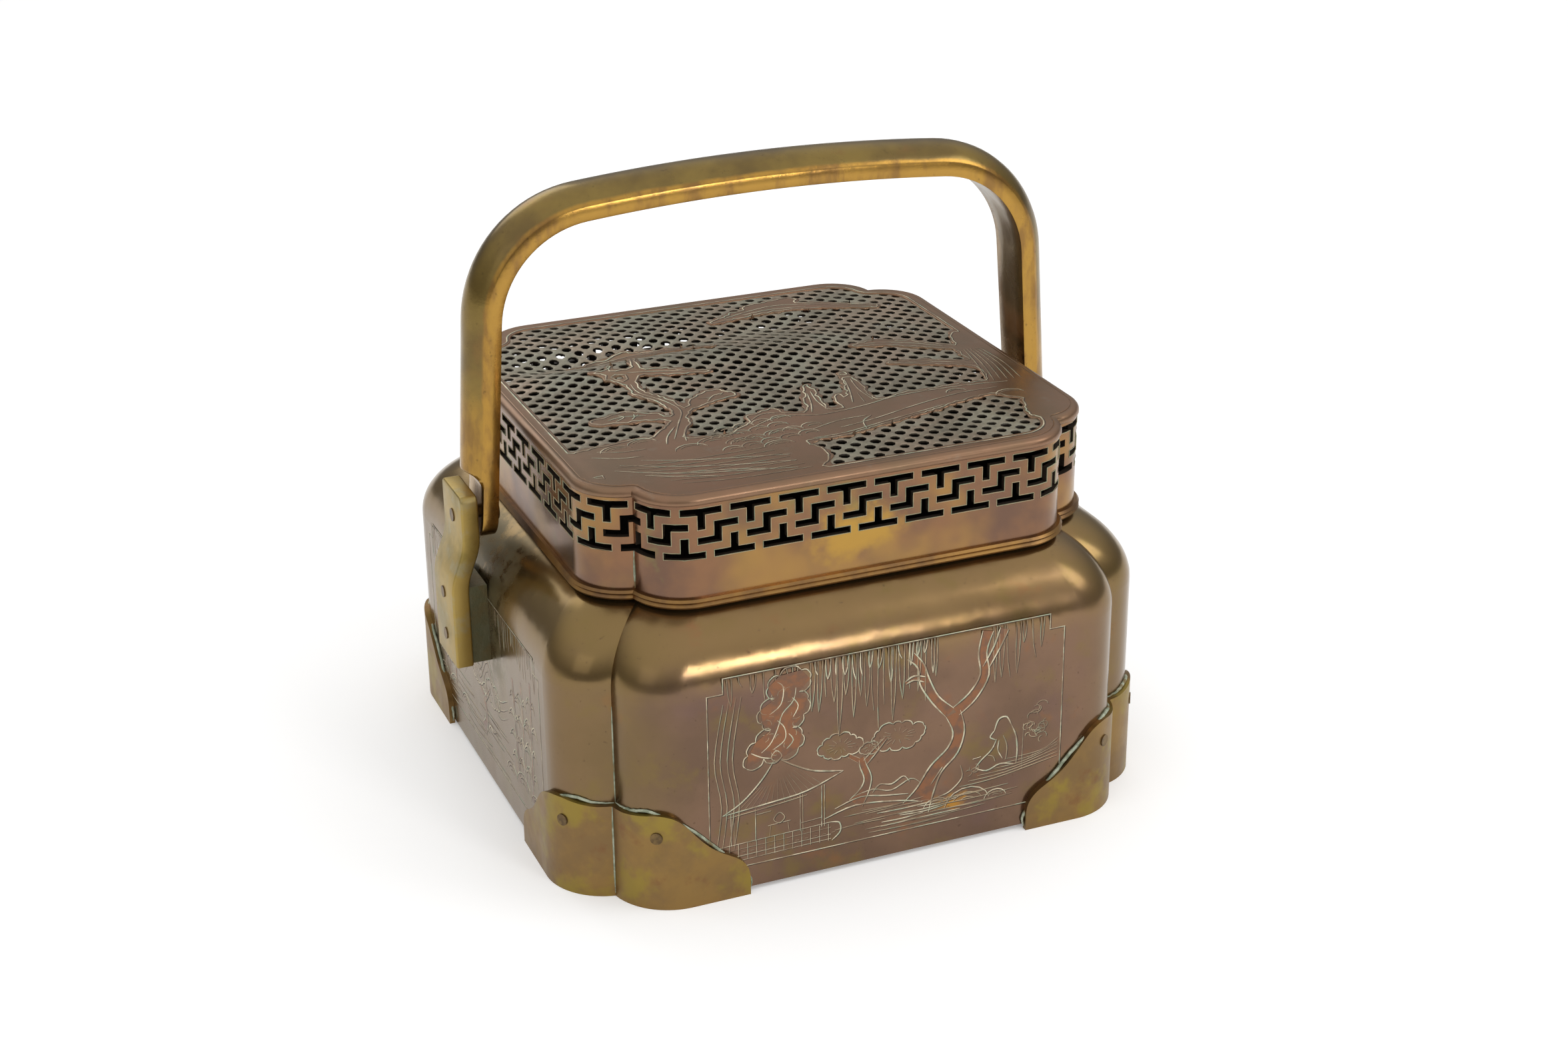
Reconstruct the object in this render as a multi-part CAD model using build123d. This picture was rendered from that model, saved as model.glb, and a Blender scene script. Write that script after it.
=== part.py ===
from build123d import *
import math
import os

os.makedirs("parts", exist_ok=True)

# A square sheet-metal hand warmer. All lengths are millimetres and all angles are degrees.
# The origin is the middle of the base at the level of the ground, +X runs along the front
# from bracket to bracket, +Y points to the back and +Z points up.

# Body: a square pot of thin sheet. Each corner is two round lobes that meet in a groove.
body_side = 140.0
body_wall = 1.6
body_lobe_radius = 12.7
body_lobe_offset = 10.8
body_lift = 1.1
base_sheet = 1.4

# Shoulder: the wall turns in over an elliptical arc and ends at the neck.
shoulder_start = 48.5
shoulder_rise = 15.5
shoulder_sweep = 60.0
shoulder_sections = 7

# Neck collar: the upright strip that the lid slides over.
collar_sheet = 1.2
collar_stand = 8.5
collar_depth = 2.6
lid_gap = 0.3

# Lid: an upright band pierced with a T fret, a bead round its foot and a pierced top plate.
lid_width = 118.8
lid_wall = 1.4
lid_lobe_radius = 11.5
lid_lobe_offset = 9.6
band_height = 22.9
bead_reach = 1.2
bead_height = 2.1
bead_groove = 0.45
fret_margin_top = 0.7
fret_height = 11.4
fret_rows = 7
fret_repeats_per_side = 10
fret_repeat_units = 6
plate_sheet = 2.1
plate_overhang = 0.3
plate_edge_radius = 1.2
plate_edge_steps = 3
plate_border = 5.0
mesh_pitch = 8.6
mesh_hole = 5.6
scenery_span = 118.8

# Feet: sheet plates wrapped round the corners, cut to an ogee on both ends.
foot_sheet = 1.3
foot_height = 22.9
foot_reach_front = 38.0
foot_reach_side = 41.0
foot_end_height = 3.9
foot_hollow_run = 7.0
foot_hollow_drop = 10.8
foot_crest_run = 13.5
foot_crest_drop = 4.1
foot_cusp_run = 5.0
foot_cusp_drop = 0.9

# Bail: a strap handle with a domed back that swings on two pins.
bail_height = 139.2
bail_dome = 3.5
bail_crown_rise = 1.9
bail_corner_radius = 26.0
bail_corner_centre = 40.6
bail_lean = 3.9
bail_thickness = 3.6
bail_top_width = 13.6
bail_foot_width = 11.5
bail_edge_drop = 0.5
bail_cove_radius = 4.0
pivot_height = 68.2

# Brackets: straps that stand off the side walls on a filler block and carry the bail.
bracket_width = 15.0
bracket_sheet = 4.0
bracket_bottom = 33.7
bracket_jog_low = 54.0
bracket_jog_high = 62.5
bracket_crown = 6.5
bracket_corner_round = 1.5
bail_side_gap = 1.0
pad_thickness = 4.2
pad_inset = 0.6
pad_top = 53.0

# Rivets, pins and how far a cut runs past the piece that it cuts.
pin_radius = 1.5
pin_play = 0.06
pin_head_radius = 2.6
pin_head = 0.9
pin_head_gap = 0.3
rivet_radius = 1.35
rivet_stand = 0.25
bracket_rivet_heights = (39.6, 50.0)
foot_rivet_height = 17.5
foot_rivet_turn = 31.0
cut_overrun = 1.5

body_half = body_side / 2
lid_half = lid_width / 2
collar_half = lid_half - lid_wall - lid_gap
collar_radius = lid_lobe_radius - lid_wall - lid_gap
shoulder_top = shoulder_start + shoulder_rise
lid_seat = shoulder_top + lid_gap
band_top = lid_seat + band_height
bail_corner_height = bail_height - bail_crown_rise - bail_corner_radius
row_height = fret_height / fret_rows
fret_top = band_top - fret_margin_top


def lobe_points(half, radius, spread):
    """The near and far centre lines of a corner's lobes, and the place of its groove."""
    near = half - radius
    far = near - spread
    reach = (math.sqrt(2 * radius**2 - spread**2) - spread) / 2
    return near, far, near + reach


def outline(half, radius, spread):
    """A closed square outline whose corners are two lobes that meet in a groove."""
    near, far, groove = lobe_points(half, radius, spread)
    sweep = math.atan2(groove - far, groove - near)
    along = radius * math.cos(sweep / 2)
    across = radius * math.sin(sweep / 2)
    quarter = [
        Line((half, -far), (half, far)),
        ThreePointArc((half, far), (near + along, far + across), (groove, groove)),
        ThreePointArc((groove, groove), (far + across, near + along), (far, half)),
    ]
    return Wire([edge.rotate(Axis.Z, 90 * turn) for turn in range(4) for edge in quarter])


def upright(wire, low, high):
    """The solid between two levels inside an outline."""
    return extrude(Pos(0, 0, low) * Face(wire), high - low)


def sheet_ring(half, radius, spread, sheet, low, high):
    """An upright strip of sheet whose outer face follows an outline."""
    outer = upright(outline(half, radius, spread), low, high)
    return outer - upright(outline(half - sheet, radius - sheet, spread), low, high)


def moulded(half, radius, spread, steps):
    """A block whose outline steps in or out from level to level, as a moulding does."""
    faces = [Pos(0, 0, level) * Face(outline(half + reach, radius + reach, spread)) for reach, level in steps]
    return loft(faces, ruled=True)


def across_x(radius, start, end, height):
    """A round bar along X at the given height."""
    return Pos(start, 0, height) * Rot(0, 90, 0) * extrude(Circle(radius), end - start)


def both_sides(right):
    """A right-hand piece and its mirror image on the left."""
    return {"right": right, "left": right.mirror(Plane.YZ)}


def shoulder_loft(depth):
    """The body under its outer face, or under that face set in by a sheet's thickness."""
    inset = body_half - (lid_half - lid_wall)
    span = inset / (1 - math.cos(math.radians(shoulder_sweep)))
    rise = shoulder_rise / math.sin(math.radians(shoulder_sweep))
    last = math.acos(1 - (inset + lid_gap + collar_sheet) / span)
    sections = []
    for step in range(shoulder_sections):
        turn = last * step / (shoulder_sections - 1)
        out, up = rise * math.cos(turn), span * math.sin(turn)
        size = math.hypot(out, up)
        travel = span * (1 - math.cos(turn))
        share = travel / inset
        radius = body_lobe_radius + share * (lid_lobe_radius - lid_wall - body_lobe_radius)
        spread = body_lobe_offset + share * (lid_lobe_offset - body_lobe_offset)
        side_step = depth * out / size
        level = shoulder_start + rise * math.sin(turn) - depth * up / size
        wire = outline(body_half - travel - side_step, radius - side_step, spread)
        sections.append(Pos(0, 0, level) * Face(wire))
    return loft(sections)


def body_solid(depth):
    """The whole body as a block, its wall and its shoulder in one."""
    wire = outline(body_half - depth, body_lobe_radius - depth, body_lobe_offset)
    return upright(wire, body_lift, shoulder_start) + shoulder_loft(depth)


def make_body_shell():
    """The pot: wall and shoulder of one sheet, open at the base and the neck."""
    shell = body_solid(0) - body_solid(body_wall)
    mouth = outline(collar_half, collar_radius, lid_lobe_offset)
    holes = [across_x(rivet_radius, -body_side, body_side, level) for level in bracket_rivet_heights]
    return shell - upright(mouth, shoulder_start, bail_height) - holes


def make_base_plate():
    """The flat floor let into the foot of the wall."""
    wire = outline(body_half - body_wall, body_lobe_radius - body_wall, body_lobe_offset)
    return upright(wire, body_lift, body_lift + base_sheet)


def make_neck_collar():
    """The upright strip inside the mouth that keys the lid."""
    low, high = shoulder_top - collar_depth, shoulder_top + collar_stand
    return sheet_ring(collar_half, collar_radius, lid_lobe_offset, collar_sheet, low, high)


def foot_profile(reach):
    """A foot plate's edge seen square to a wall: from its end up an ogee to the groove."""
    _, _, groove = lobe_points(body_half, body_lobe_radius, body_lobe_offset)
    end = body_half + foot_sheet - reach
    crown = groove - foot_cusp_run
    cusp = foot_height - foot_cusp_drop
    edge = [
        Line((end, 0), (end, foot_end_height)),
        Spline(
            (end, foot_end_height),
            (end + foot_hollow_run, foot_height - foot_hollow_drop),
            (end + foot_crest_run, foot_height - foot_crest_drop),
            (crown, foot_height),
            tangents=[(0, 1), (1, 0)],
        ),
        Line((crown, foot_height), (groove, cusp)),
        Line((groove, cusp), (body_side, cusp)),
        Line((body_side, cusp), (body_side, 0)),
        Line((body_side, 0), (end, 0)),
    ]
    return Face(Wire(edge))


def make_foot():
    """The foot at the right back corner: a wrapped plate with both ends cut to an ogee."""
    _, _, groove = lobe_points(body_half, body_lobe_radius, body_lobe_offset)
    strip = sheet_ring(body_half + foot_sheet, body_lobe_radius + foot_sheet, body_lobe_offset, foot_sheet,
                       0, foot_height)
    depth = body_side - groove
    back = extrude(foot_profile(foot_reach_front), depth, dir=(0, 0, 1))
    back = Pos(0, body_side, 0) * Rot(90, 0, 0) * back
    side = extrude(foot_profile(foot_reach_side), depth, dir=(0, 0, 1))
    side = Pos(groove, 0, 0) * Rot(0, 0, 90) * Rot(90, 0, 0) * side
    return (strip & back) + (strip & side) - foot_rivet_holes()


def lobe_bar(radius, start, end, height, turn, swap):
    """A round bar square to a lobe of the right back corner, from one depth to another."""
    near, far, _ = lobe_points(body_half, body_lobe_radius, body_lobe_offset)
    bar = Pos(near, far, height) * Rot(0, 0, turn) * across_x(radius, start, end, 0)
    return bar.mirror(Plane((0, 0, 0), z_dir=(1, -1, 0))) if swap else bar


def make_foot_rivets():
    """The two rivets of the right back foot, from the wall's face out through the plate."""
    outside = body_lobe_radius + foot_sheet + rivet_stand
    return Compound(
        [
            lobe_bar(rivet_radius, body_lobe_radius, outside, foot_rivet_height, foot_rivet_turn, swap)
            for swap in (False, True)
        ]
    )


def foot_rivet_holes():
    """The bars that pierce the right back foot for its two rivets."""
    outside = body_lobe_radius + 2 * foot_sheet
    return [
        lobe_bar(rivet_radius, 0, outside, foot_rivet_height, foot_rivet_turn, swap) for swap in (False, True)
    ]


def at_corners(piece):
    """The right back piece and its mirror images at the other three corners."""
    left = piece.mirror(Plane.YZ)
    return {
        "back_right": piece,
        "back_left": left,
        "front_right": piece.mirror(Plane.XZ),
        "front_left": left.mirror(Plane.XZ),
    }


def fret_slots(repeat):
    """One repeat of the fret: left edge, right edge, top row and bottom row of each slot."""
    middle = (repeat + 0.5) * fret_repeat_units
    tee = [(-2.5, 2.5, 0, 1), (-0.5, 0.5, 1, 3)]
    crank = [(1.5, 4.5, 2, 3), (1.5, 2.5, 3, 4), (-0.5, 2.5, 4, 5)]
    foot = [(3.5, 4.5, 4, 6), (1.5, 6.5, 6, 7)]
    return [(middle + a, middle + b, top, low) for a, b, top, low in tee + crank + foot]


def lobe_slot(centre, turn, start, end):
    """The plan of a slot in a lobe, between two distances round it from a start angle."""
    first = turn + math.degrees(start / lid_lobe_radius)
    last = turn + math.degrees(end / lid_lobe_radius)
    rim = lid_lobe_radius + cut_overrun
    root = lid_lobe_radius - lid_wall - cut_overrun
    points = [(rim, first), (rim, (first + last) / 2), (rim, last), (root, last), (root, first)]
    return Pos(*centre) * Polygon(
        *[(r * math.cos(math.radians(a)), r * math.sin(math.radians(a))) for r, a in points], align=None
    )


def fret_cutters():
    """Bars that pierce the slots of one side of the lid's band, from groove to groove."""
    near, far, groove = lobe_points(lid_half, lid_lobe_radius, lid_lobe_offset)
    sweep = math.atan2(groove - far, groove - near)
    arc = lid_lobe_radius * sweep
    length = 2 * arc + 2 * far
    unit = length / fret_repeats_per_side / fret_repeat_units
    groove_cut = 3 * lid_wall + 4 * cut_overrun
    cutters = []
    for repeat in range(-1, fret_repeats_per_side):
        for left, right, top, low in fret_slots(repeat):
            start, end = left * unit, right * unit
            plans = []
            if start < 0 < end:
                plans.append(Pos(groove, -groove) * Rot(0, 0, -45) * Rectangle(groove_cut, unit))
            start, end = max(start, 0), min(end, length)
            if start < min(end, arc):
                plans.append(lobe_slot((near, -far), -math.degrees(sweep), start, min(end, arc)))
            if max(start, arc) < min(end, length - arc):
                low_y, high_y = max(start, arc) - arc - far, min(end, length - arc) - arc - far
                slot = Rectangle(lid_wall + 2 * cut_overrun, high_y - low_y)
                plans.append(Pos(lid_half - lid_wall / 2, (low_y + high_y) / 2) * slot)
            if max(start, length - arc) < end:
                first = max(start, length - arc) - (length - arc)
                plans.append(lobe_slot((near, far), 0, first, end - (length - arc)))
            for plan in plans:
                base = fret_top - low * row_height
                cutters.append(Pos(0, 0, base) * extrude(plan, (low - top) * row_height))
    return cutters


def make_fret_band():
    """The lid's upright band, plain below and pierced with the fret above."""
    band = sheet_ring(lid_half, lid_lobe_radius, lid_lobe_offset, lid_wall, lid_seat, band_top)
    one_side = fret_cutters()
    return band - [bar.rotate(Axis.Z, 90 * turn) for turn in range(4) for bar in one_side]


def make_rim_bead():
    """The double bead soldered round the foot of the band: two round strips side by side."""
    quarter = bead_height / 4
    waist = bead_reach - bead_groove
    reaches = [waist, bead_reach, waist, bead_reach, waist]
    steps = [(reach, lid_seat + quarter * step) for step, reach in enumerate(reaches)]
    bead = moulded(lid_half, lid_lobe_radius, lid_lobe_offset, steps)
    band = upright(outline(lid_half, lid_lobe_radius, lid_lobe_offset), lid_seat, lid_seat + bead_height)
    return bead - band


# Scenery left solid in the pierced top, drawn for a lid of the scenery span: each piece is a
# chain of points and a half width.
scenery = {
    "bank": ([(-50, -34), (-30, -41), (-13, -49)], 9.0),
    "causeway": ([(-18, -35), (0, -34), (22, -30), (48, -28)], 6.0),
    "pine trunk": ([(-31, -36), (-25, -22), (-25, -12), (-30, 0), (-24, 20)], 2.8),
    "left bough": ([(-43, -13), (-32, -16)], 3.6),
    "right bough": ([(-21, -13), (-14, -9)], 4.0),
    "walker": ([(3, -26), (6, -13)], 2.6),
    "companion": ([(15, -23), (16, -9)], 3.2),
    "rock": ([(51, -26), (52, 2)], 5.0),
    "low cloud": ([(30, 9), (38, 7), (45, 1)], 2.4),
    "left cloud": ([(-32, 28), (-21, 29), (-6, 23)], 3.0),
    "mist": ([(-36, 12), (-20, 9), (-11, 7)], 2.4),
    "far hills": ([(8, 42), (20, 44), (37, 39)], 3.0),
}


def distance_to_chain(x, y, chain):
    """The distance in plan from a point to a chain of straight runs."""
    best = math.inf
    for (x0, y0), (x1, y1) in zip(chain, chain[1:]):
        run = (x1 - x0) ** 2 + (y1 - y0) ** 2
        share = ((x - x0) * (x1 - x0) + (y - y0) * (y1 - y0)) / run
        share = min(max(share, 0), 1)
        best = min(best, math.hypot(x - x0 - share * (x1 - x0), y - y0 - share * (y1 - y0)))
    return best


def inside_border(x, y):
    """Whether a mesh hole at a point stays clear of the plate's plain border."""
    near, far, _ = lobe_points(lid_half, lid_lobe_radius, lid_lobe_offset)
    room = plate_border + mesh_hole / math.sqrt(2)
    x, y = abs(x), abs(y)
    if x > far and y > far:
        return min(math.hypot(x - near, y - far), math.hypot(x - far, y - near)) < lid_lobe_radius - room
    return max(x, y) < lid_half - room


def mesh_places():
    """The middles of the mesh holes: a diagonal grid that spares the border and the scenery."""
    step = mesh_pitch / math.sqrt(2)
    count = int(lid_half / step) + 1
    scale = lid_width / scenery_span
    places = []
    for column in range(-count, count + 1):
        for row in range(-count, count + 1):
            if (column + row) % 2:
                continue
            x, y = column * step, row * step
            clear = all(
                distance_to_chain(x / scale, y / scale, chain) > width + mesh_hole / 2
                for chain, width in scenery.values()
            )
            if clear and inside_border(x, y):
                places.append((x, y))
    return places


def make_top_plate():
    """The lid's top: a rounded edge, a plain border and a mesh round solid scenery."""
    steps = [(plate_overhang, band_top)]
    for step in range(plate_edge_steps + 1):
        turn = math.pi / 2 * step / plate_edge_steps
        reach = plate_overhang - plate_edge_radius * (1 - math.cos(turn))
        steps.append((reach, band_top + plate_sheet - plate_edge_radius * (1 - math.sin(turn))))
    plate = moulded(lid_half, lid_lobe_radius, lid_lobe_offset, steps)
    holes = [Pos(x, y) * Rectangle(mesh_hole, mesh_hole, rotation=45) for x, y in mesh_places()]
    return plate - extrude(Pos(0, 0, band_top) * Compound(holes), 2 * plate_sheet)


def bail_camber():
    """The level of the centre of the bail's flat top arc, and the turn where its corner begins."""
    drop = (bail_corner_centre**2 - bail_crown_rise**2) / (2 * bail_crown_rise)
    return bail_corner_height - drop, math.atan2(drop, bail_corner_centre)


def leg_face(depth, level):
    """How far from the middle the leg's outer face lies at a level, or that face set in."""
    lean = math.radians(bail_lean)
    corner = bail_corner_radius - depth
    knee_level = bail_corner_height + corner * math.sin(lean)
    return bail_corner_centre + corner * math.cos(lean) + (knee_level - level) * math.tan(lean)


def bail_line():
    """The right half of the bail's back line, from its foot up to the middle of its crown."""
    lean = math.radians(bail_lean)
    centre_level, turn = bail_camber()
    camber = bail_height - centre_level

    def on_corner(angle):
        across, up = bail_corner_radius * math.cos(angle), bail_corner_radius * math.sin(angle)
        return bail_corner_centre + across, bail_corner_height + up

    half_turn = (math.pi / 2 + turn) / 2
    rise = (camber * math.cos(half_turn), centre_level + camber * math.sin(half_turn))
    foot_level = pivot_height - bail_foot_width
    knee, crest = on_corner(lean), on_corner(turn)
    return [
        Line((leg_face(0, foot_level), foot_level), knee),
        ThreePointArc(knee, on_corner((lean + turn) / 2), crest),
        ThreePointArc(crest, rise, (0, bail_height)),
    ]


def bail_cove():
    """What is cut from the back of the bail's end, so that it lies flat behind the bracket."""
    start, end = pivot_height + bracket_crown, pivot_height - bail_foot_width
    near = leg_face(0, start)
    far = near + bail_cove_radius
    top, outside = start + bail_cove_radius, far + cut_overrun
    bend = bail_cove_radius * math.cos(math.pi / 4)
    edges = [
        Line((leg_face(0, end), end), (near, start)),
        ThreePointArc((near, start), (far - bend, start + bend), (far, top)),
        Line((far, top), (outside, top)),
        Line((outside, top), (outside, end)),
        Line((outside, end), (leg_face(0, end), end)),
    ]
    return extrude(Rot(90, 0, 0) * Face(Wire(edges)), bail_top_width, both=True)


def make_bail():
    """The handle: a bent bar with a domed back, wider at the crown, with round ends on the pins."""
    foot, top = bail_foot_width / 2, bail_top_width / 2
    edge, inside = bail_height - bail_edge_drop, bail_height - bail_thickness
    section = [
        ThreePointArc((-top, edge), (0, bail_height + bail_dome), (top, edge)),
        Line((top, edge), (top, inside)),
        Line((top, inside), (-top, inside)),
        Line((-top, inside), (-top, edge)),
    ]
    bar = sweep(Rot(0, 0, 90) * Rot(90, 0, 0) * Face(Wire(section)), Rot(90, 0, 0) * Wire(bail_line()))
    over = bail_height + bail_dome + cut_overrun
    side = [
        Line((foot, pivot_height), (top, over)),
        Line((top, over), (-top, over)),
        Line((-top, over), (-foot, pivot_height)),
        ThreePointArc((-foot, pivot_height), (0, pivot_height - foot), (foot, pivot_height)),
    ]
    right = bar & extrude(Rot(0, 0, 90) * Rot(90, 0, 0) * Face(Wire(side)), body_side)
    right = right - bail_cove() - across_x(pin_radius + pin_play, 0, body_side, pivot_height)
    return right + right.mirror(Plane.YZ)


pad_face = body_half + pad_thickness
tab_face = leg_face(0, pivot_height - bail_foot_width / 2) + bail_side_gap
leg_inside = leg_face(bail_thickness, pivot_height)


def make_bracket():
    """The right bracket: a strap that steps in from its filler block up to the pivot."""
    top = pivot_height + bracket_crown
    inner = [
        (pad_face, bracket_bottom),
        (pad_face, bracket_jog_low),
        (tab_face, bracket_jog_high),
        (tab_face, top),
    ]
    outer = [(x + bracket_sheet, z) for x, z in reversed(inner)]
    profile = Polygon(*inner, *outer, align=None)
    bends = [vertex for vertex in profile.vertices() if bracket_bottom < vertex.Y < top]
    strap = extrude(Rot(90, 0, 0) * fillet(bends, bracket_sheet), bracket_width / 2, both=True)
    strap = fillet(strap.edges().filter_by(Axis.X).group_by(Axis.Z)[-1], bracket_corner_round)
    strap -= across_x(pin_radius, 0, body_side, pivot_height)
    return strap - [across_x(rivet_radius, 0, body_side, level) for level in bracket_rivet_heights]


def make_bracket_pad():
    """The block that fills the space between the wall and the right bracket."""
    low = bracket_bottom + pad_inset
    block = Box(
        pad_thickness,
        bracket_width - 2 * pad_inset,
        pad_top - low,
        align=(Align.MIN, Align.CENTER, Align.MIN),
    )
    pad = Pos(body_half, 0, low) * block
    return pad - [across_x(rivet_radius, 0, body_side, level) for level in bracket_rivet_heights]


def make_bracket_rivets():
    """The two rivets that hold the right bracket, through its filler and the wall."""
    inside = body_half - body_wall - rivet_stand
    outside = pad_face + bracket_sheet + rivet_stand
    return Compound([across_x(rivet_radius, inside, outside, level) for level in bracket_rivet_heights])


def make_pivot_pin():
    """The right pin: tight in the bracket, running in the bail, headed inside the leg."""
    inside = leg_inside - pin_head_gap
    shank = across_x(pin_radius, inside - pin_head, tab_face + bracket_sheet + rivet_stand, pivot_height)
    return shank + across_x(pin_head_radius, inside - pin_head, inside, pivot_height)


pieces = {
    "body_shell": make_body_shell(),
    "base_plate": make_base_plate(),
    "neck_collar": make_neck_collar(),
    "bail": make_bail(),
    "lid_fret_band": make_fret_band(),
    "lid_rim_bead": make_rim_bead(),
    "lid_top_plate": make_top_plate(),
}
for place, piece in at_corners(make_foot()).items():
    pieces["foot_" + place] = piece
for place, piece in at_corners(make_foot_rivets()).items():
    pieces["foot_rivets_" + place] = piece
for name, piece in {
    "bracket": make_bracket(),
    "bracket_pad": make_bracket_pad(),
    "bracket_rivets": make_bracket_rivets(),
    "pivot_pin": make_pivot_pin(),
}.items():
    for side, mirrored in both_sides(piece).items():
        pieces[name + "_" + side] = mirrored

for name, piece in pieces.items():
    export_step(piece, "parts/" + name + ".step")
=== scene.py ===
import math
import random

import bmesh
import bpy
import numpy as np
from mathutils import Matrix, Vector


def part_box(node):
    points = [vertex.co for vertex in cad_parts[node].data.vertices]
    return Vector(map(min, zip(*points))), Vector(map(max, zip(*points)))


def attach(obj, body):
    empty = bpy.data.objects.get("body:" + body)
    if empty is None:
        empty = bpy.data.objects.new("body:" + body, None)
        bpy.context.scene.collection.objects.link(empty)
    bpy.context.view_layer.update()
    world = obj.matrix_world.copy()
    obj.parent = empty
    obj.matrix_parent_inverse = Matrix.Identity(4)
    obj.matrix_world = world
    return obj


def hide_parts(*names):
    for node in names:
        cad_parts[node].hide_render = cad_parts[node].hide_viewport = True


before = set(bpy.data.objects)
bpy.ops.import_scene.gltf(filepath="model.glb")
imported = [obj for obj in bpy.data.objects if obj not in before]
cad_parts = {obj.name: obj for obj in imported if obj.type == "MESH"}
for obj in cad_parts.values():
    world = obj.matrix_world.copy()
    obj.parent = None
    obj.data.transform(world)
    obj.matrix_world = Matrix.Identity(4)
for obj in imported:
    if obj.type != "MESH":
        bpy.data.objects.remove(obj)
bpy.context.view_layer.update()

bl_info = {
    "name": "Engraved Hand Warmer",
    "version": (1, 0, 0),
    "blender": (4, 5, 0),
    "location": "View3D > Sidebar > Hand Warmer",
    "description": "Builds the pierced lid, the engraving and the finish of a square hand warmer",
    "category": "Add Mesh",
}

# Lengths are millimetres until a piece is finished, and metres from there on.
MM = 0.001


def extent(node):
    """The lowest and highest corner of a node of the frame, in millimetres."""
    low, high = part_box(node)
    return low / MM, high / MM


pot_low, pot_high = extent("body_shell")
band_low, band_high = extent("lid_fret_band")
plate_low, plate_high = extent("lid_top_plate")
bail_low, bail_high = extent("bail")
bracket_low, bracket_high = extent("bracket_right")
foot_low, foot_high = extent("foot_back_right")
pin_low, pin_high = extent("pivot_pin_right")

# The corner of the pot and of the lid: two round lobes that meet in a groove.
POT_LOBE = (12.7, 10.8)
LID_LOBE = (11.5, 9.6)
FOOT_SHEET = foot_high.x - pot_high.x

# The fret: rows down the band and repeats along one side, each of so many units.
FRET_MARGIN = 0.7
FRET_HEIGHT = 11.4
FRET_ROWS = 7
FRET_REPEATS = 10
FRET_UNITS = 6

# The bail: how its crown, its bends and its legs run.
BAIL_THICKNESS = 3.6
BAIL_DOME = 3.5
BAIL_EDGE_DROP = 0.5
BAIL_COVE = 4.0
BAIL_CROWN_RISE = 1.9
BAIL_BEND_RADIUS = 26.0
BAIL_BEND_CENTRE = 40.6
BAIL_LEAN = math.radians(3.9)
BAIL_FOOT_WIDTH = 11.5
BAIL_TOP_WIDTH = 13.6
PIVOT_LEVEL = (pin_low.z + pin_high.z) / 2

# The bracket: its strap steps in from the filler block to the leg of the bail.
BRACKET_SHEET = 4.0
BRACKET_JOG = (54.0, 62.5)
BRACKET_CORNER = 1.5


def linear(hex_colour):
    """An sRGB hex colour as linear light, with full alpha."""
    parts = [int(hex_colour[place : place + 2], 16) / 255 for place in (1, 3, 5)]
    return tuple([c / 12.92 if c <= 0.04045 else ((c + 0.055) / 1.055) ** 2.4 for c in parts] + [1.0])


class HandWarmerSettings(bpy.types.PropertyGroup):
    """The sizes and colours that a user would change."""

    mesh_pitch: bpy.props.FloatProperty(
        name="Mesh Pitch", description="Distance from hole to hole of the pierced top", default=0.0033, unit="LENGTH"
    )
    mesh_wire: bpy.props.FloatProperty(
        name="Mesh Wire", description="Width of the metal left between two holes", default=0.00088, unit="LENGTH"
    )
    mesh_sink: bpy.props.FloatProperty(
        name="Mesh Sink", description="How far the mesh lies under the solid lands", default=0.00022, unit="LENGTH"
    )
    lid_crown: bpy.props.FloatProperty(
        name="Lid Crown", description="How far the middle of the pierced top rises", default=0.0011, unit="LENGTH"
    )
    line_width: bpy.props.FloatProperty(
        name="Line Width", description="Width of an engraved line", default=0.0003, unit="LENGTH"
    )
    seam_width: bpy.props.FloatProperty(
        name="Seam Width", description="Width of the solder along the feet", default=0.00075, unit="LENGTH"
    )
    copper: bpy.props.FloatVectorProperty(
        name="Copper", description="Brown of the pot", default=linear("#7f6552"), size=4, subtype="COLOR"
    )
    brass: bpy.props.FloatVectorProperty(
        name="Brass", description="Yellow of the feet and brackets", default=linear("#8f7244"), size=4, subtype="COLOR"
    )
    verdigris: bpy.props.FloatVectorProperty(
        name="Verdigris", description="Green of the patina", default=linear("#8a8c7a"), size=4, subtype="COLOR"
    )


def add(tree, kind, inputs=None, **settings):
    """Adds a node with its settings, and sets or links its inputs."""
    made = tree.nodes.new(kind)
    for name, value in settings.items():
        setattr(made, name, value)
    for key, value in (inputs or {}).items():
        if isinstance(value, bpy.types.NodeSocket):
            tree.links.new(value, made.inputs[key])
        else:
            made.inputs[key].default_value = value
    return made


def new_material(name):
    """A named material with its tree and its surface shader."""
    material = bpy.data.materials.new(name)
    material.use_nodes = True
    return material, material.node_tree, material.node_tree.nodes["Principled BSDF"]


def per_size(millimetres):
    """The scale at which a texture in metres repeats about once in a length."""
    return 1 / (millimetres * MM)


def mask(tree, value, low, high):
    """A value stretched so that low gives 0 and high gives 1, smoothly."""
    return add(
        tree,
        "ShaderNodeMapRange",
        {"Value": value, "From Min": low, "From Max": high},
        interpolation_type="SMOOTHSTEP",
    ).outputs["Result"]


def mix(tree, share, first, second):
    """A colour between two colours."""
    made = add(tree, "ShaderNodeMix", data_type="RGBA")
    for socket, value in ((made.inputs[0], share), (made.inputs[6], first), (made.inputs[7], second)):
        if isinstance(value, bpy.types.NodeSocket):
            tree.links.new(value, socket)
        else:
            socket.default_value = value
    return made.outputs[2]


def math_of(tree, operation, first, second=0.0):
    """One sum of two values."""
    return add(tree, "ShaderNodeMath", {0: first, 1: second}, operation=operation).outputs[0]


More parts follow.
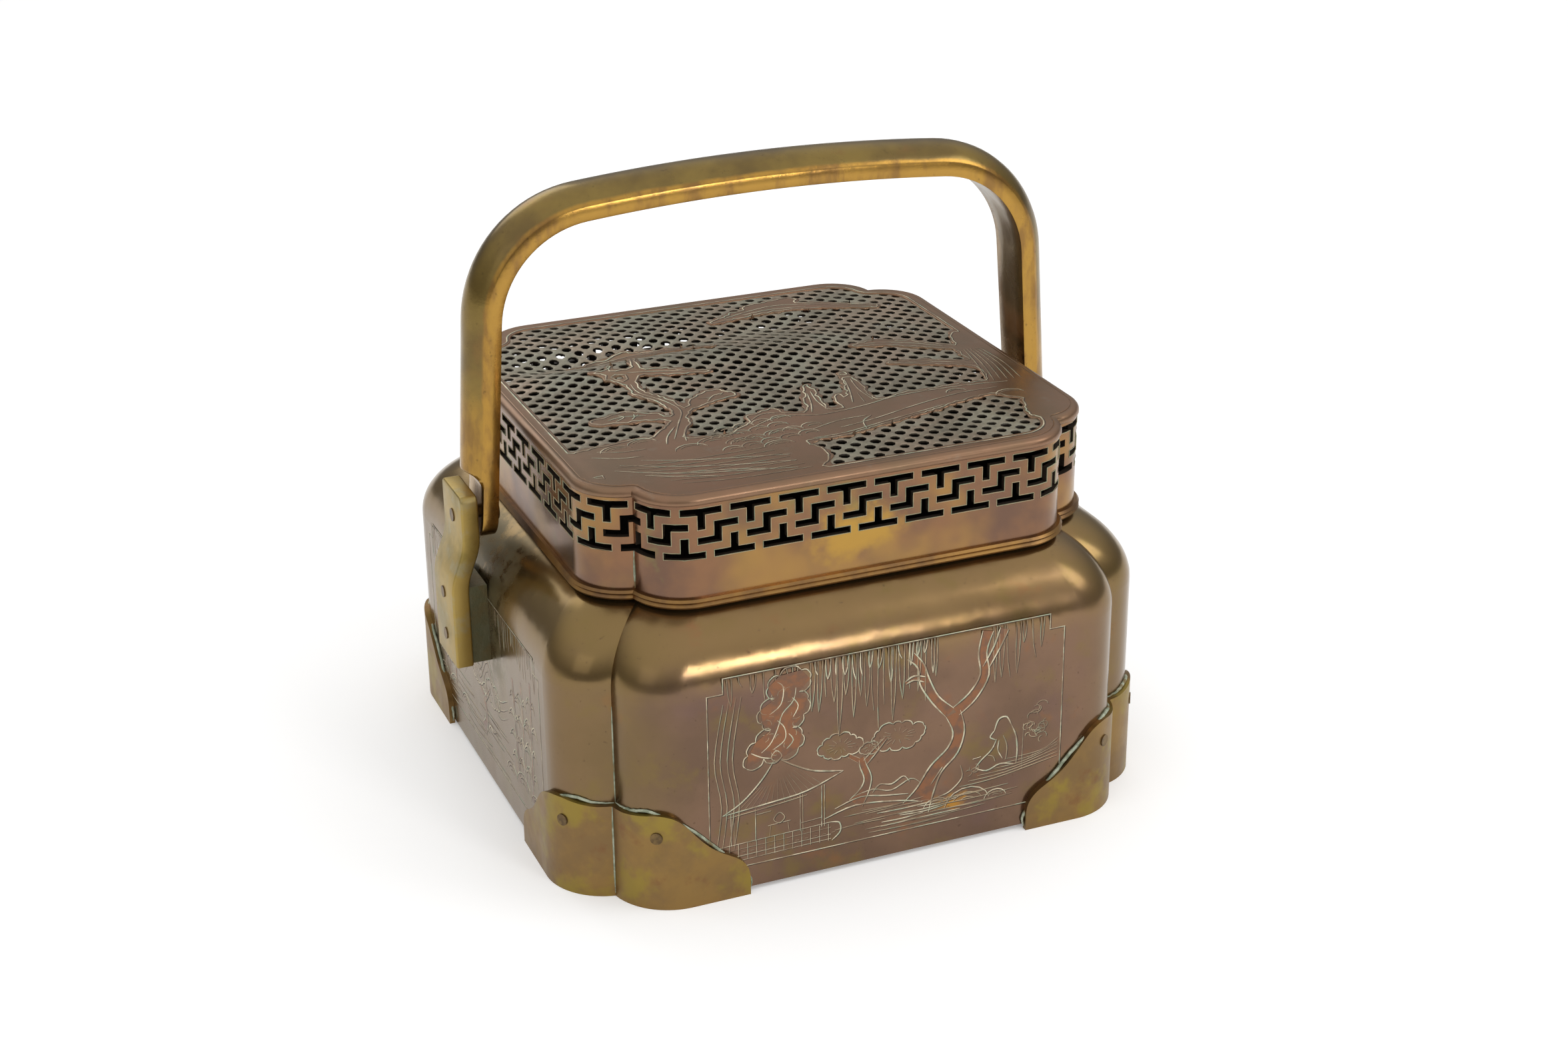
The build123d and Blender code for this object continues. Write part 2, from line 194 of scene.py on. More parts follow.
def cloud(tree, size, detail=4.0, seed=0.0, stretch=(1, 1, 1)):
    """Soft patches about so many millimetres across."""
    place = add(tree, "ShaderNodeTexCoord").outputs["Object"]
    moved = add(tree, "ShaderNodeMapping", {"Vector": place, "Location": (seed, seed, seed), "Scale": stretch})
    values = {"Vector": moved.outputs[0], "Scale": per_size(size), "Detail": detail, "Roughness": 0.6}
    return add(tree, "ShaderNodeTexNoise", values).outputs["Fac"]


def height_of(tree):
    """How high above the ground a point lies, in metres."""
    place = add(tree, "ShaderNodeTexCoord").outputs["Object"]
    return add(tree, "ShaderNodeSeparateXYZ", {0: place}).outputs["Z"]


def dress(tree, shader, colour, roughness, metallic, bumps):
    """Joins a colour, a roughness, a metalness and a chain of bumps to the shader."""
    for socket, value in (("Base Color", colour), ("Roughness", roughness), ("Metallic", metallic)):
        if isinstance(value, bpy.types.NodeSocket):
            tree.links.new(value, shader.inputs[socket])
        else:
            shader.inputs[socket].default_value = value
    normal = None
    for height, distance in bumps:
        values = {"Height": height, "Distance": distance * MM, "Strength": 1.0}
        if normal is not None:
            values["Normal"] = normal
        normal = add(tree, "ShaderNodeBump", values).outputs["Normal"]
    if normal is not None:
        tree.links.new(normal, shader.inputs["Normal"])


def sooted_and_shaded(tree, colour):
    """A colour that turns to soot on the faces that look in at the fire, and darker still there as painted shade of the
    pot's inside.
    """
    place = add(tree, "ShaderNodeTexCoord").outputs["Object"]
    level = add(tree, "ShaderNodeVectorMath", {0: place, 1: (1, 1, 0)}, operation="MULTIPLY").outputs[0]
    facing = add(tree, "ShaderNodeNewGeometry").outputs["True Normal"]
    outward = add(tree, "ShaderNodeVectorMath", {0: level, 1: facing}, operation="DOT_PRODUCT").outputs["Value"]
    # Inward faces get a near-black colour: soot together with painted shade of the interior.
    inside = mask(tree, outward, -0.006, -0.02)
    return mix(tree, inside, colour, linear("#2b241f")), inside


def outward_share(tree):
    """How squarely a face looks away from, or towards, the upright axis of the object."""
    place = add(tree, "ShaderNodeTexCoord").outputs["Object"]
    level = add(tree, "ShaderNodeVectorMath", {0: place, 1: (1, 1, 0)}, operation="MULTIPLY").outputs[0]
    away = add(tree, "ShaderNodeVectorMath", {0: level}, operation="NORMALIZE").outputs[0]
    facing = add(tree, "ShaderNodeNewGeometry").outputs["True Normal"]
    share = add(tree, "ShaderNodeVectorMath", {0: away, 1: facing}, operation="DOT_PRODUCT").outputs["Value"]
    return math_of(tree, "ABSOLUTE", share)


def spot(tree, centre, reach):
    """A ragged patch round a place on the object, both in millimetres."""
    place = add(tree, "ShaderNodeTexCoord").outputs["Object"]
    away = add(tree, "ShaderNodeVectorMath", {0: place, 1: Vector(centre) * MM}, operation="SUBTRACT").outputs[0]
    share = add(tree, "ShaderNodeVectorMath", {0: away, 1: Vector(reach) * MM}, operation="DIVIDE").outputs[0]
    far = add(tree, "ShaderNodeVectorMath", {0: share}, operation="LENGTH").outputs["Value"]
    ragged = math_of(tree, "MULTIPLY", cloud(tree, min(reach), 5, 0.44), 1.6)
    return mask(tree, math_of(tree, "ADD", far, ragged), 1.75, 1.15)


def near_bracket(tree):
    """Where damp has sat round the foot of a bracket: high on a side wall, near its middle."""
    place = add(tree, "ShaderNodeTexCoord").outputs["Object"]
    parts = add(tree, "ShaderNodeSeparateXYZ", {0: place})
    across = mask(tree, math_of(tree, "ABSOLUTE", parts.outputs["Y"]), 0.024, 0.008)
    out = mask(tree, math_of(tree, "ABSOLUTE", parts.outputs["X"]), 0.057, 0.064)
    up = mask(tree, parts.outputs["Z"], 0.026, 0.036)
    share = math_of(tree, "MULTIPLY", across, math_of(tree, "MULTIPLY", out, up))
    return math_of(tree, "MULTIPLY", share, mask(tree, cloud(tree, 5, 5, 0.44), 0.36, 0.58))


def engraved_copper(settings):
    """Rolled brown copper alloy of the pot, gold on the shoulder from wear and a painted sheen, with soft cloudy
    tarnish, and soot and painted shade inside.
    """
    material, tree, shader = new_material("rolled_copper_tarnished")
    patches = mask(tree, cloud(tree, 34, 5, 0.03), 0.38, 0.66)
    colour = mix(tree, patches, tuple(settings.copper), linear("#6e5848"))
    plum = mask(tree, cloud(tree, 21, 3, 0.11), 0.5, 0.7)
    colour = mix(tree, math_of(tree, "MULTIPLY", plum, 0.35), colour, linear("#735a58"))
    # The gold band on the shoulder is partly wear and partly a painted sheen where the shoulder catches the light.
    level = height_of(tree)
    ragged = math_of(tree, "MULTIPLY", cloud(tree, 16, 4, 0.2), 0.018)
    rubbed = mask(tree, math_of(tree, "ADD", level, ragged), 0.054, 0.068)
    colour = mix(tree, math_of(tree, "MULTIPLY", rubbed, 0.8), colour, linear("#8a7047"))
    olive = mask(tree, cloud(tree, 13, 5, 0.37), 0.52, 0.7)
    colour = mix(tree, math_of(tree, "MULTIPLY", olive, 0.55), colour, linear("#7d6b3c"))
    warm = mask(tree, cloud(tree, 9, 4, 0.83), 0.58, 0.76)
    colour = mix(tree, math_of(tree, "MULTIPLY", warm, 0.5), colour, linear("#8f6141"))
    colour = mix(tree, spot(tree, (15, -70, 11), (5, 5, 3)), colour, linear("#b0803a"))
    place = add(tree, "ShaderNodeTexCoord").outputs["Object"]
    wide = math_of(tree, "ABSOLUTE", add(tree, "ShaderNodeSeparateXYZ", {0: place}).outputs["X"])
    sides = mask(tree, math_of(tree, "ADD", wide, ragged), 0.052, 0.07)
    colour = mix(tree, math_of(tree, "MULTIPLY", sides, 0.5), colour, linear("#7b683e"))
    specks = mask(tree, cloud(tree, 0.9, 2, 0.5), 0.66, 0.74)
    colour = mix(tree, math_of(tree, "MULTIPLY", specks, 0.4), colour, linear("#4c3a2e"))
    damp = near_bracket(tree)
    damp = math_of(tree, "MULTIPLY", damp, 0.55)
    colour = mix(tree, damp, colour, linear("#6a6850"))
    # Inward faces: soot and painted shade of the interior.
    colour, inside = sooted_and_shaded(tree, colour)
    metal = math_of(tree, "SUBTRACT", 0.92, math_of(tree, "MULTIPLY", math_of(tree, "MAXIMUM", inside, damp), 0.6))
    rough = mask(tree, cloud(tree, 16, 2, 0.6), 0.25, 0.8)
    rough = math_of(tree, "ADD", math_of(tree, "MULTIPLY", rough, 0.1), 0.17)
    rough = math_of(tree, "ADD", rough, math_of(tree, "MULTIPLY", math_of(tree, "MAXIMUM", inside, damp), 0.35))
    bumps = [(cloud(tree, 24, 2, 0.8), 0.35), (cloud(tree, 7, 2, 0.9), 0.02)]
    dress(tree, shader, colour, rough, metal, bumps)
    return material


def fret_copper(settings):
    """Sawn copper sheet of the lid band: warm brown outside, painted shade on the walls of the slots, and soot with
    painted shade inside.
    """
    material, tree, shader = new_material("sawn_copper_warm")
    patches = mask(tree, cloud(tree, 17, 5, 0.23), 0.36, 0.68)
    colour = mix(tree, patches, linear("#87644a"), linear("#6f5648"))
    glow = mask(tree, cloud(tree, 30, 3, 0.71), 0.48, 0.68)
    colour = mix(tree, math_of(tree, "MULTIPLY", glow, 0.6), colour, linear("#ab8647"))
    green = mask(tree, cloud(tree, 10, 4, 0.37), 0.6, 0.76)
    colour = mix(tree, math_of(tree, "MULTIPLY", green, 0.5), colour, linear("#7f7f4e"))
    # Inward faces: soot and painted shade of the interior.
    colour, inside = sooted_and_shaded(tree, colour)
    colour = mix(tree, spot(tree, (-2, -59, 75), (15, 9, 8)), colour, linear("#ae8843"))
    # The walls of the slots, which do not face outward, get a near-black painted shade.
    sawn = mask(tree, outward_share(tree), 0.69, 0.64)
    colour = mix(tree, sawn, colour, linear("#33291f"))
    dull = math_of(tree, "MAXIMUM", sawn, inside)
    metal = math_of(tree, "SUBTRACT", 0.92, math_of(tree, "MULTIPLY", dull, 0.6))
    rough = math_of(tree, "ADD", math_of(tree, "MULTIPLY", dull, 0.35), 0.24)
    bumps = [(cloud(tree, 18, 2, 0.8), 0.25), (cloud(tree, 2.4, 3, 0.9), 0.015)]
    dress(tree, shader, colour, rough, metal, bumps)
    return material


def land_copper(settings):
    """Burnished copper of the solid lands and the rolled edge of the lid: even plum brown, satin."""
    material, tree, shader = new_material("burnished_copper_plum")
    patches = mask(tree, cloud(tree, 26, 4, 0.43), 0.35, 0.7)
    colour = mix(tree, patches, linear("#8b6b54"), linear("#7c664f"))
    dust = mask(tree, cloud(tree, 5, 4, 0.13), 0.58, 0.8)
    colour = mix(tree, math_of(tree, "MULTIPLY", dust, 0.5), colour, linear("#8f8272"))
    rough = math_of(tree, "ADD", math_of(tree, "MULTIPLY", cloud(tree, 7, 4, 0.3), 0.2), 0.26)
    bumps = [(cloud(tree, 15, 2, 0.2), 0.2), (cloud(tree, 1.3, 3, 0.9), 0.012)]
    dress(tree, shader, colour, rough, 0.88, bumps)
    return material


def mesh_copper(settings):
    """Pierced copper mesh under decades of soot and damp: matt grey brown, a little green, with painted shade on the
    sides and underside of its wires.
    """
    material, tree, shader = new_material("pierced_copper_verdigris")
    patches = mask(tree, cloud(tree, 15, 5, 0.53), 0.36, 0.62)
    colour = mix(tree, patches, linear("#998977"), linear("#878070"))
    green = mask(tree, cloud(tree, 16, 5, 0.77), 0.46, 0.64)
    colour = mix(tree, math_of(tree, "MULTIPLY", green, 0.55), colour, tuple(settings.verdigris))
    grime = mask(tree, cloud(tree, 2.1, 4, 0.93), 0.48, 0.75)
    colour = mix(tree, math_of(tree, "MULTIPLY", grime, 0.4), colour, linear("#4d463c"))
    # Faces that do not look up, the walls of the holes and the underside, get a near-black painted shade.
    facing = add(tree, "ShaderNodeNewGeometry").outputs["True Normal"]
    upward = add(tree, "ShaderNodeSeparateXYZ", {0: facing}).outputs["Z"]
    colour = mix(tree, mask(tree, upward, 0.55, 0.1), colour, linear("#352e26"))
    metal = math_of(tree, "SUBTRACT", 0.8, math_of(tree, "MULTIPLY", green, 0.4))
    bumps = [(cloud(tree, 0.7, 3, 0.3), 0.05)]
    dress(tree, shader, colour, 0.46, metal, bumps)
    return material


def graver_line(settings):
    """The lit flank of a graver's cut: raw copper alloy that has turned pale and a little green."""
    material, tree, shader = new_material("engraved_line_pale")
    green = mask(tree, cloud(tree, 4, 4, 0.17), 0.42, 0.62)
    colour = mix(tree, green, linear("#d8ccae"), linear("#abb69c"))
    tarnish = mask(tree, cloud(tree, 6, 5, 0.67), 0.45, 0.6)
    colour = mix(tree, math_of(tree, "MULTIPLY", tarnish, 0.8), colour, linear("#8a7158"))
    dress(tree, shader, colour, 0.4, 0.5, [(cloud(tree, 0.5, 2, 0.3), 0.02)])
    return material


def graver_fine(settings):
    """The lit flank of a shallow cut: hardly paler than the copper, and worn through in places."""
    material, tree, shader = new_material("engraved_line_fine")
    green = mask(tree, cloud(tree, 5, 4, 0.47), 0.46, 0.62)
    colour = mix(tree, green, linear("#b5a384"), linear("#9aa187"))
    tarnish = mask(tree, cloud(tree, 6, 5, 0.27), 0.42, 0.6)
    colour = mix(tree, math_of(tree, "MULTIPLY", tarnish, 0.75), colour, linear("#806a54"))
    dress(tree, shader, colour, 0.38, 0.65, [(cloud(tree, 0.5, 2, 0.3), 0.02)])
    return material


def graver_shade(settings):
    """Painted shadow on the far flank of a graver's cut."""
    material, tree, shader = new_material("engraved_line_dark")
    patches = mask(tree, cloud(tree, 3, 4, 0.27), 0.4, 0.65)
    colour = mix(tree, patches, linear("#43352b"), linear("#5f4d3e"))
    dress(tree, shader, colour, 0.5, 0.5, [(cloud(tree, 0.5, 2, 0.3), 0.02)])
    return material


def chased_copper(settings):
    """Ground that the chaser has worked inside an outline: redder copper, finely matted by the punch."""
    material, tree, shader = new_material("chased_copper_red")
    patches = mask(tree, cloud(tree, 3, 4, 0.47), 0.38, 0.6)
    colour = mix(tree, patches, linear("#8a6046"), linear("#745a4a"))
    dress(tree, shader, colour, 0.3, 0.9, [(cloud(tree, 0.8, 3, 0.3), 0.05)])
    return material


def sawn_edge(settings):
    """Burr and verdigris along the sawn edge of a slot: thin, pale and dull."""
    material, tree, shader = new_material("sawn_edge_pale")
    green = mask(tree, cloud(tree, 5, 4, 0.57), 0.4, 0.6)
    colour = mix(tree, green, linear("#b3a07e"), linear("#97997c"))
    dress(tree, shader, colour, 0.5, 0.45, [(cloud(tree, 0.6, 2, 0.3), 0.02)])
    return material


def strap_brass(settings):
    """Forged and filed bar of the bail: satin olive brown, rubbed to gold on its legs, gold on its edges and side faces
    from wear and a painted sheen, with painted shade on its inner faces.
    """
    material, tree, shader = new_material("forged_brass_strap")
    patches = mask(tree, cloud(tree, 19, 5, 0.31), 0.35, 0.65)
    colour = mix(tree, patches, linear("#85703f"), linear("#6d5b39"))
    red = mask(tree, cloud(tree, 11, 4, 0.71), 0.55, 0.75)
    colour = mix(tree, math_of(tree, "MULTIPLY", red, 0.5), colour, linear("#82603c"))
    # Edges and side faces: wear, together with a painted sheen where the side faces catch the light.
    rub_and_sheen = add(tree, "ShaderNodeAttribute", attribute_name="rub_and_sheen").outputs["Fac"]
    ragged = math_of(tree, "MULTIPLY", cloud(tree, 6, 4, 0.5), 0.5)
    worn = mask(tree, math_of(tree, "ADD", rub_and_sheen, ragged), 0.62, 1.05)
    low = mask(tree, math_of(tree, "ADD", height_of(tree), math_of(tree, "MULTIPLY", ragged, 0.03)), 0.112, 0.094)
    worn = math_of(tree, "MAXIMUM", worn, math_of(tree, "MULTIPLY", low, 0.8))
    streaks = mask(tree, cloud(tree, 5, 5, 0.9, (1, 1, 0.4)), 0.42, 0.66)
    gold = mix(tree, streaks, linear("#ac8540"), linear("#8c6a3c"))
    colour = mix(tree, worn, colour, gold)
    # Inner faces under the arch are darkened as painted shade.
    inner = mask(tree, add(tree, "ShaderNodeAttribute", attribute_name="inside").outputs["Fac"], 0.4, 0.9)
    colour = mix(tree, math_of(tree, "MULTIPLY", inner, 0.55), colour, linear("#66543a"))
    spots = mask(tree, cloud(tree, 1.2, 3, 0.8), 0.63, 0.75)
    colour = mix(tree, math_of(tree, "MULTIPLY", spots, 0.5), colour, linear("#4f4029"))
    rough = math_of(tree, "ADD", math_of(tree, "MULTIPLY", cloud(tree, 8, 3, 0.3), 0.2), 0.15)
    bumps = [(cloud(tree, 14, 2, 0.2), 0.25), (cloud(tree, 1.0, 3, 0.9), 0.02)]
    dress(tree, shader, colour, rough, 0.94, bumps)
    return material


def bracket_brass(settings):
    """Filed brass bar of the brackets: greyed yellow with dull tarnish, smoother than the strap."""
    material, tree, shader = new_material("filed_brass_bar")
    patches = mask(tree, cloud(tree, 12, 5, 0.41), 0.4, 0.66)
    colour = mix(tree, patches, linear("#a88f50"), linear("#8c7a42"))
    grey = mask(tree, cloud(tree, 5, 4, 0.91), 0.5, 0.72)
    colour = mix(tree, math_of(tree, "MULTIPLY", grey, 0.5), colour, linear("#9a957c"))
    rough = math_of(tree, "ADD", math_of(tree, "MULTIPLY", cloud(tree, 6, 4, 0.3), 0.22), 0.3)
    dress(tree, shader, colour, rough, 0.9, [(cloud(tree, 1.1, 3, 0.9), 0.02)])
    return material


def foot_brass(settings):
    """Hammered brass sheet of the feet: brown yellow with orange and green clouds, low satin shine."""
    material, tree, shader = new_material("hammered_brass_sheet")
    patches = mask(tree, cloud(tree, 13, 5, 0.61), 0.36, 0.66)
    colour = mix(tree, patches, tuple(settings.brass), linear("#7f6644"))
    green = mask(tree, cloud(tree, 12, 4, 0.87), 0.46, 0.62)
    colour = mix(tree, math_of(tree, "MULTIPLY", green, 0.7), colour, linear("#96833a"))
    red = mask(tree, cloud(tree, 7, 4, 0.27), 0.58, 0.74)
    colour = mix(tree, math_of(tree, "MULTIPLY", red, 0.65), colour, linear("#7c563a"))
    rough = math_of(tree, "ADD", math_of(tree, "MULTIPLY", cloud(tree, 6, 4, 0.3), 0.25), 0.28)
    bumps = [(cloud(tree, 9, 2, 0.2), 0.2), (cloud(tree, 0.9, 3, 0.9), 0.015)]
    dress(tree, shader, colour, rough, 0.92, bumps)
    return material


def inner_copper(settings):
    """Copper of the collar and the base that only the open pot shows: brown, dulled by heat and ash."""
    material, tree, shader = new_material("heat_dulled_copper")
    patches = mask(tree, cloud(tree, 9, 5, 0.53), 0.36, 0.66)
    colour = mix(tree, patches, linear("#6d5442"), linear("#57473a"))
    # Inward faces: soot and painted shade of the interior.
    colour, inside = sooted_and_shaded(tree, colour)
    dress(tree, shader, colour, 0.48, 0.8, [(cloud(tree, 1.1, 3, 0.9), 0.02)])
    return material


def rivet_brass(settings):
    """Hammered rivet heads, darker than the sheet round them."""
    material, tree, shader = new_material("hammered_rivet_brass")
    patches = mask(tree, cloud(tree, 1.5, 4, 0.7), 0.4, 0.66)
    colour = mix(tree, patches, linear("#7a6442"), linear("#5d4c36"))
    dress(tree, shader, colour, 0.42, 0.9, [(cloud(tree, 0.8, 3, 0.9), 0.03)])
    return material


def rim_brass(settings):
    """Drawn brass bead at the foot of the lid: worn golden brown in lighter and darker patches."""
    material, tree, shader = new_material("drawn_brass_bead")
    patches = mask(tree, cloud(tree, 12, 5, 0.33), 0.38, 0.66)
    colour = mix(tree, patches, linear("#94703f"), linear("#6f543a"))
    dress(tree, shader, colour, 0.33, 0.92, [(cloud(tree, 1.1, 3, 0.9), 0.02)])
    return material


def soft_solder(settings):
    """Old soft solder and verdigris in a seam: pale grey green crust, matt and grainy."""
    material, tree, shader = new_material("soft_solder_verdigris")
    patches = mask(tree, cloud(tree, 2.2, 5, 0.63), 0.36, 0.64)
    colour = mix(tree, patches, linear("#bcc3ad"), linear("#87917a"))
    bare = mask(tree, cloud(tree, 4.5, 4, 0.29), 0.54, 0.66)
    colour = mix(tree, bare, colour, linear("#86744f"))
    dress(tree, shader, colour, 0.62, 0.3, [(cloud(tree, 0.45, 3, 0.3), 0.12)])
    return material


def filler_metal(settings):
    """The cast filler behind a bracket: dull brown brass, darkened by grime and by painted shade behind the bracket,
    with a breath of green.
    """
    material, tree, shader = new_material("cast_filler_grime_and_shade")
    # Both base colours are kept dark as painted shade behind the bracket, with grime.
    patches = mask(tree, cloud(tree, 5, 5, 0.63), 0.36, 0.64)
    colour = mix(tree, patches, linear("#655838"), linear("#5c5b42"))
    streaks = mask(tree, cloud(tree, 2, 4, 0.13, (1, 1, 0.25)), 0.5, 0.7)
    colour = mix(tree, math_of(tree, "MULTIPLY", streaks, 0.4), colour, linear("#7c745c"))
    dress(tree, shader, colour, 0.55, 0.6, [(cloud(tree, 0.9, 3, 0.3), 0.08)])
    return material


def finish_piece(bm, name, body, material, replaced=(), crease=35):
    """Turns a mesh in millimetres into a finished piece of the object, in metres."""
    bmesh.ops.scale(bm, vec=(MM, MM, MM), verts=bm.verts)
    mesh = bpy.data.meshes.new(name)
    bm.to_mesh(mesh)
    bm.free()
    for polygon in mesh.polygons:
        polygon.use_smooth = True
    mesh.set_sharp_from_angle(angle=math.radians(crease))
    mesh.materials.append(material)
    piece = bpy.data.objects.new(name, mesh)
    bpy.context.scene.collection.objects.link(piece)
    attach(piece, body)
    if replaced:
        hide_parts(*replaced)
    return piece


def outline(half, lobe, inset=0.0, steps=8):
    """The closed outline of the pot or the lid, set in by a distance, anticlockwise from above."""
    radius, offset = lobe
    near, far = half - radius, half - radius - offset
    radius -= inset
    groove = near + (math.sqrt(2 * radius**2 - offset**2) - offset) / 2
    sweep = math.atan2(groove - far, groove - near)
    quarter = []
    for step in range(steps + 1):
        angle = sweep * step / steps
        quarter.append((near + radius * math.cos(angle), far + radius * math.sin(angle)))
    for step in range(1, steps + 1):
        angle = math.pi / 2 - sweep + sweep * step / steps
        quarter.append((far + radius * math.cos(angle), near + radius * math.sin(angle)))
    turns = [(1, 0), (0, 1), (-1, 0), (0, -1)]
    return [(x * c - y * s, x * s + y * c) for c, s in turns for x, y in quarter]


def groove_place(half, lobe):
    """How far along X, and along Y, the groove of a corner lies."""
    radius, offset = lobe
    return half - radius + (math.sqrt(2 * radius**2 - offset**2) - offset) / 2


def face_level(along, half, lobe):
    """How far out a wall's face lies at a place along it, round the lobe at its end."""
    radius, offset = lobe
    near, far = half - radius, half - radius - offset
    return half if abs(along) <= far else near + math.sqrt(max(radius**2 - (abs(along) - far) ** 2, 0))


def smooth_line(points, steps=5, closed=False):
    """A line through all the points that bends evenly from one to the next."""
    count = len(points)
    if count < 3:
        return [tuple(map(float, point)) for point in points]
    ends = [points[-1], *points, points[0], points[1]] if closed else [points[0], *points, points[-1]]
    given = np.array(ends, float)
    line = []
    for place in range(count if closed else count - 1):
        a, b, c, d = given[place : place + 4]
        for step in range(steps):
            t = step / steps
            bend = 2 * b + (c - a) * t + (2 * a - 5 * b + 4 * c - d) * t**2 + (3 * b - a - 3 * c + d) * t**3
            line.append(tuple(bend / 2))
    if not closed:
        line.append(tuple(given[-1]))
    return line


def drawn_lines(strokes, width, place, flatness=0.3, sides=1):
    """A mesh of thin lines: each stroke is its points, how it closes and its share of the width."""
    curve = bpy.data.curves.new("lines", "CURVE")
    curve.dimensions = "3D"
    curve.bevel_depth = width / 2
    curve.bevel_resolution = sides
    curve.use_fill_caps = True
    for points, closed, weight in strokes:
        spline = curve.splines.new("POLY")
        spline.points.add(len(points) - 1)
        for number, point in enumerate(points):
            share = number / max(len(points) - 1, 1)
            taper = 1.0 if closed else min(1.0, 0.35 + 3.2 * min(share, 1 - share))
            spline.points[number].co = (*point, *[0.0] * (3 - len(point)), 1.0)
            spline.points[number].radius = weight * taper
        spline.use_cyclic_u = closed
    carrier = bpy.data.objects.new("lines", curve)
    mesh = bpy.data.meshes.new_from_object(carrier)
    bpy.data.objects.remove(carrier)
    bpy.data.curves.remove(curve)
    bm = bmesh.new()
    bm.from_mesh(mesh)
    bpy.data.meshes.remove(mesh)
    bmesh.ops.remove_doubles(bm, verts=bm.verts, dist=1e-4)
    for vert in bm.verts:
        vert.co = place(vert.co.x, vert.co.y, vert.co.z * flatness)
    bmesh.ops.recalc_face_normals(bm, faces=bm.faces)
    return bm


def stroke(*points, weight=1.0, steps=4):
    """One engraved line through its points."""
    return (smooth_line(points, steps), False, weight)


def ring(*points, weight=1.0, steps=4):
    """One engraved line that closes on itself."""
    return (smooth_line(points, steps, True), True, weight)


def straight(*points, weight=1.0, closed=False):
    """One engraved line of straight runs."""
    return ([tuple(map(float, point)) for point in points], closed, weight)


def arc(x, y, across, up, start, end, weight=1.0, steps=7):
    """A piece of an ellipse round a point, between two angles in degrees."""
    angles = [math.radians(start + (end - start) * step / steps) for step in range(steps + 1)]
    return ([(x + across * math.cos(a), y + up * math.sin(a)) for a in angles], False, weight)


def shell_row(points, depth, weight=1.0):
    """A chain of shell-shaped curves that bulge to the left of the way from point to point."""
    made = []
    for (x0, y0), (x1, y1) in zip(points, points[1:]):
        length = math.hypot(x1 - x0, y1 - y0)
        side = ((y0 - y1) / length, (x1 - x0) / length)
        bulge = depth * length
        middle = [
            (x0 + (x1 - x0) * t + side[0] * bulge, y0 + (y1 - y0) * t + side[1] * bulge) for t in (0.25, 0.75)
        ]
        made.append(stroke((x0, y0), middle[0], middle[1], (x1, y1), weight=weight, steps=3))
    return made


def both_edges(chain, weight=1.0):
    """The two edges of a limb: each point of its chain is x, y and half its width."""
    sides = ([], [])
    for number, (x, y, width) in enumerate(chain):
        before, after = chain[max(number - 1, 0)], chain[min(number + 1, len(chain) - 1)]
        dx, dy = after[0] - before[0], after[1] - before[1]
        length = math.hypot(dx, dy)
        for side, sign in zip(sides, (1, -1)):
            side.append((x - sign * dy / length * width, y + sign * dx / length * width))
    return [stroke(*side, weight=weight) for side in sides]


def limb_ground(chain):
    """The outline of a limb as one closed shape."""
    left, right = (edge[0] for edge in both_edges(chain))
    return [*left, *reversed(right)]


def leaf_cloud(chance, x, y, across, up, lobes, weight=0.8):
    """The scalloped outline of a cloud of leaves, with a row of short veins inside."""
    rim = []
    for step in range(lobes):
        angle = -2 * math.pi * (step + chance.uniform(-0.25, 0.25)) / lobes
        reach = chance.uniform(0.86, 1.1)
        rim.append((x + across * reach * math.cos(angle), y + up * reach * math.sin(angle)))
    made = shell_row([*rim, rim[0]], 0.24, weight)
    for px, py in rim:
        near, far = chance.uniform(0.62, 0.74), chance.uniform(0.28, 0.4)
        made.append(stroke((x + (px - x) * near, y + (py - y) * near), (x + (px - x) * far, y + (py - y) * far),
                           weight=weight * 0.7))
    return made


def scribbled_bush(chance, x, y, across, up, count, weight=0.6):
    """A bush of many small open curls."""
    made = []
    for _ in range(count):
        turn, reach = chance.uniform(0, 2 * math.pi), math.sqrt(chance.random())
        px, py = x + across * reach * math.cos(turn), y + up * reach * math.sin(turn)
        size, start = chance.uniform(0.7, 1.5), chance.uniform(0, 360)
        made.append(arc(px, py, size, size * 0.8, start, start + chance.uniform(120, 230), weight, 6))
    return made


def still_water(chance, left, right, low, high, count, weight=0.8):
    """Broken level lines of water, each a little bowed."""
    made = []
    for number in range(count):
        y = low + (high - low) * (number + 0.5) / count + chance.uniform(-0.3, 0.3)
        start = chance.uniform(left, left + 0.55 * (right - left))
        end = min(start + chance.uniform(7, 20), right)
        lift = chance.uniform(-0.35, 0.35)
        made.append(stroke((start, y), ((start + end) / 2, y + lift), (end, y + 0.1), weight=weight))
    return made


def hanging_fronds(chance, left, right, top, short, long, step, weight=0.8):
    """Willow fronds that hang from the frame, each a long narrow loop open at its top."""
    made = []
    x = left
    while x < right:
        drop = chance.uniform(short, long)
        sway = chance.uniform(-0.5, 0.5)
        half = chance.uniform(0.35, 0.7)
        low = (x + sway, top - drop)
        made.append(stroke((x - half, top), (x - half * 0.8 + sway / 2, top - drop * 0.6), low, weight=weight))
        if chance.random() < 0.7:
            made.append(stroke((x + half, top), (x + half * 0.8 + sway / 2, top - drop * 0.6), low, weight=weight))
        x += step * chance.uniform(0.75, 1.25)
    return made


def frame_lines(half, low, high, notch):
    """The border of a wall panel: a rectangle with a small step at each corner."""
    corners = []
    for x, y in ((1, 1), (-1, 1), (-1, -1), (1, -1)):
        level = high if y > 0 else low
        corner = [(x * half, level - y * notch), (x * (half - notch), level - y * notch), (x * (half - notch), level)]
        corners += corner if x * y > 0 else reversed(corner)
    return [straight(*corners, weight=1.0, closed=True)]


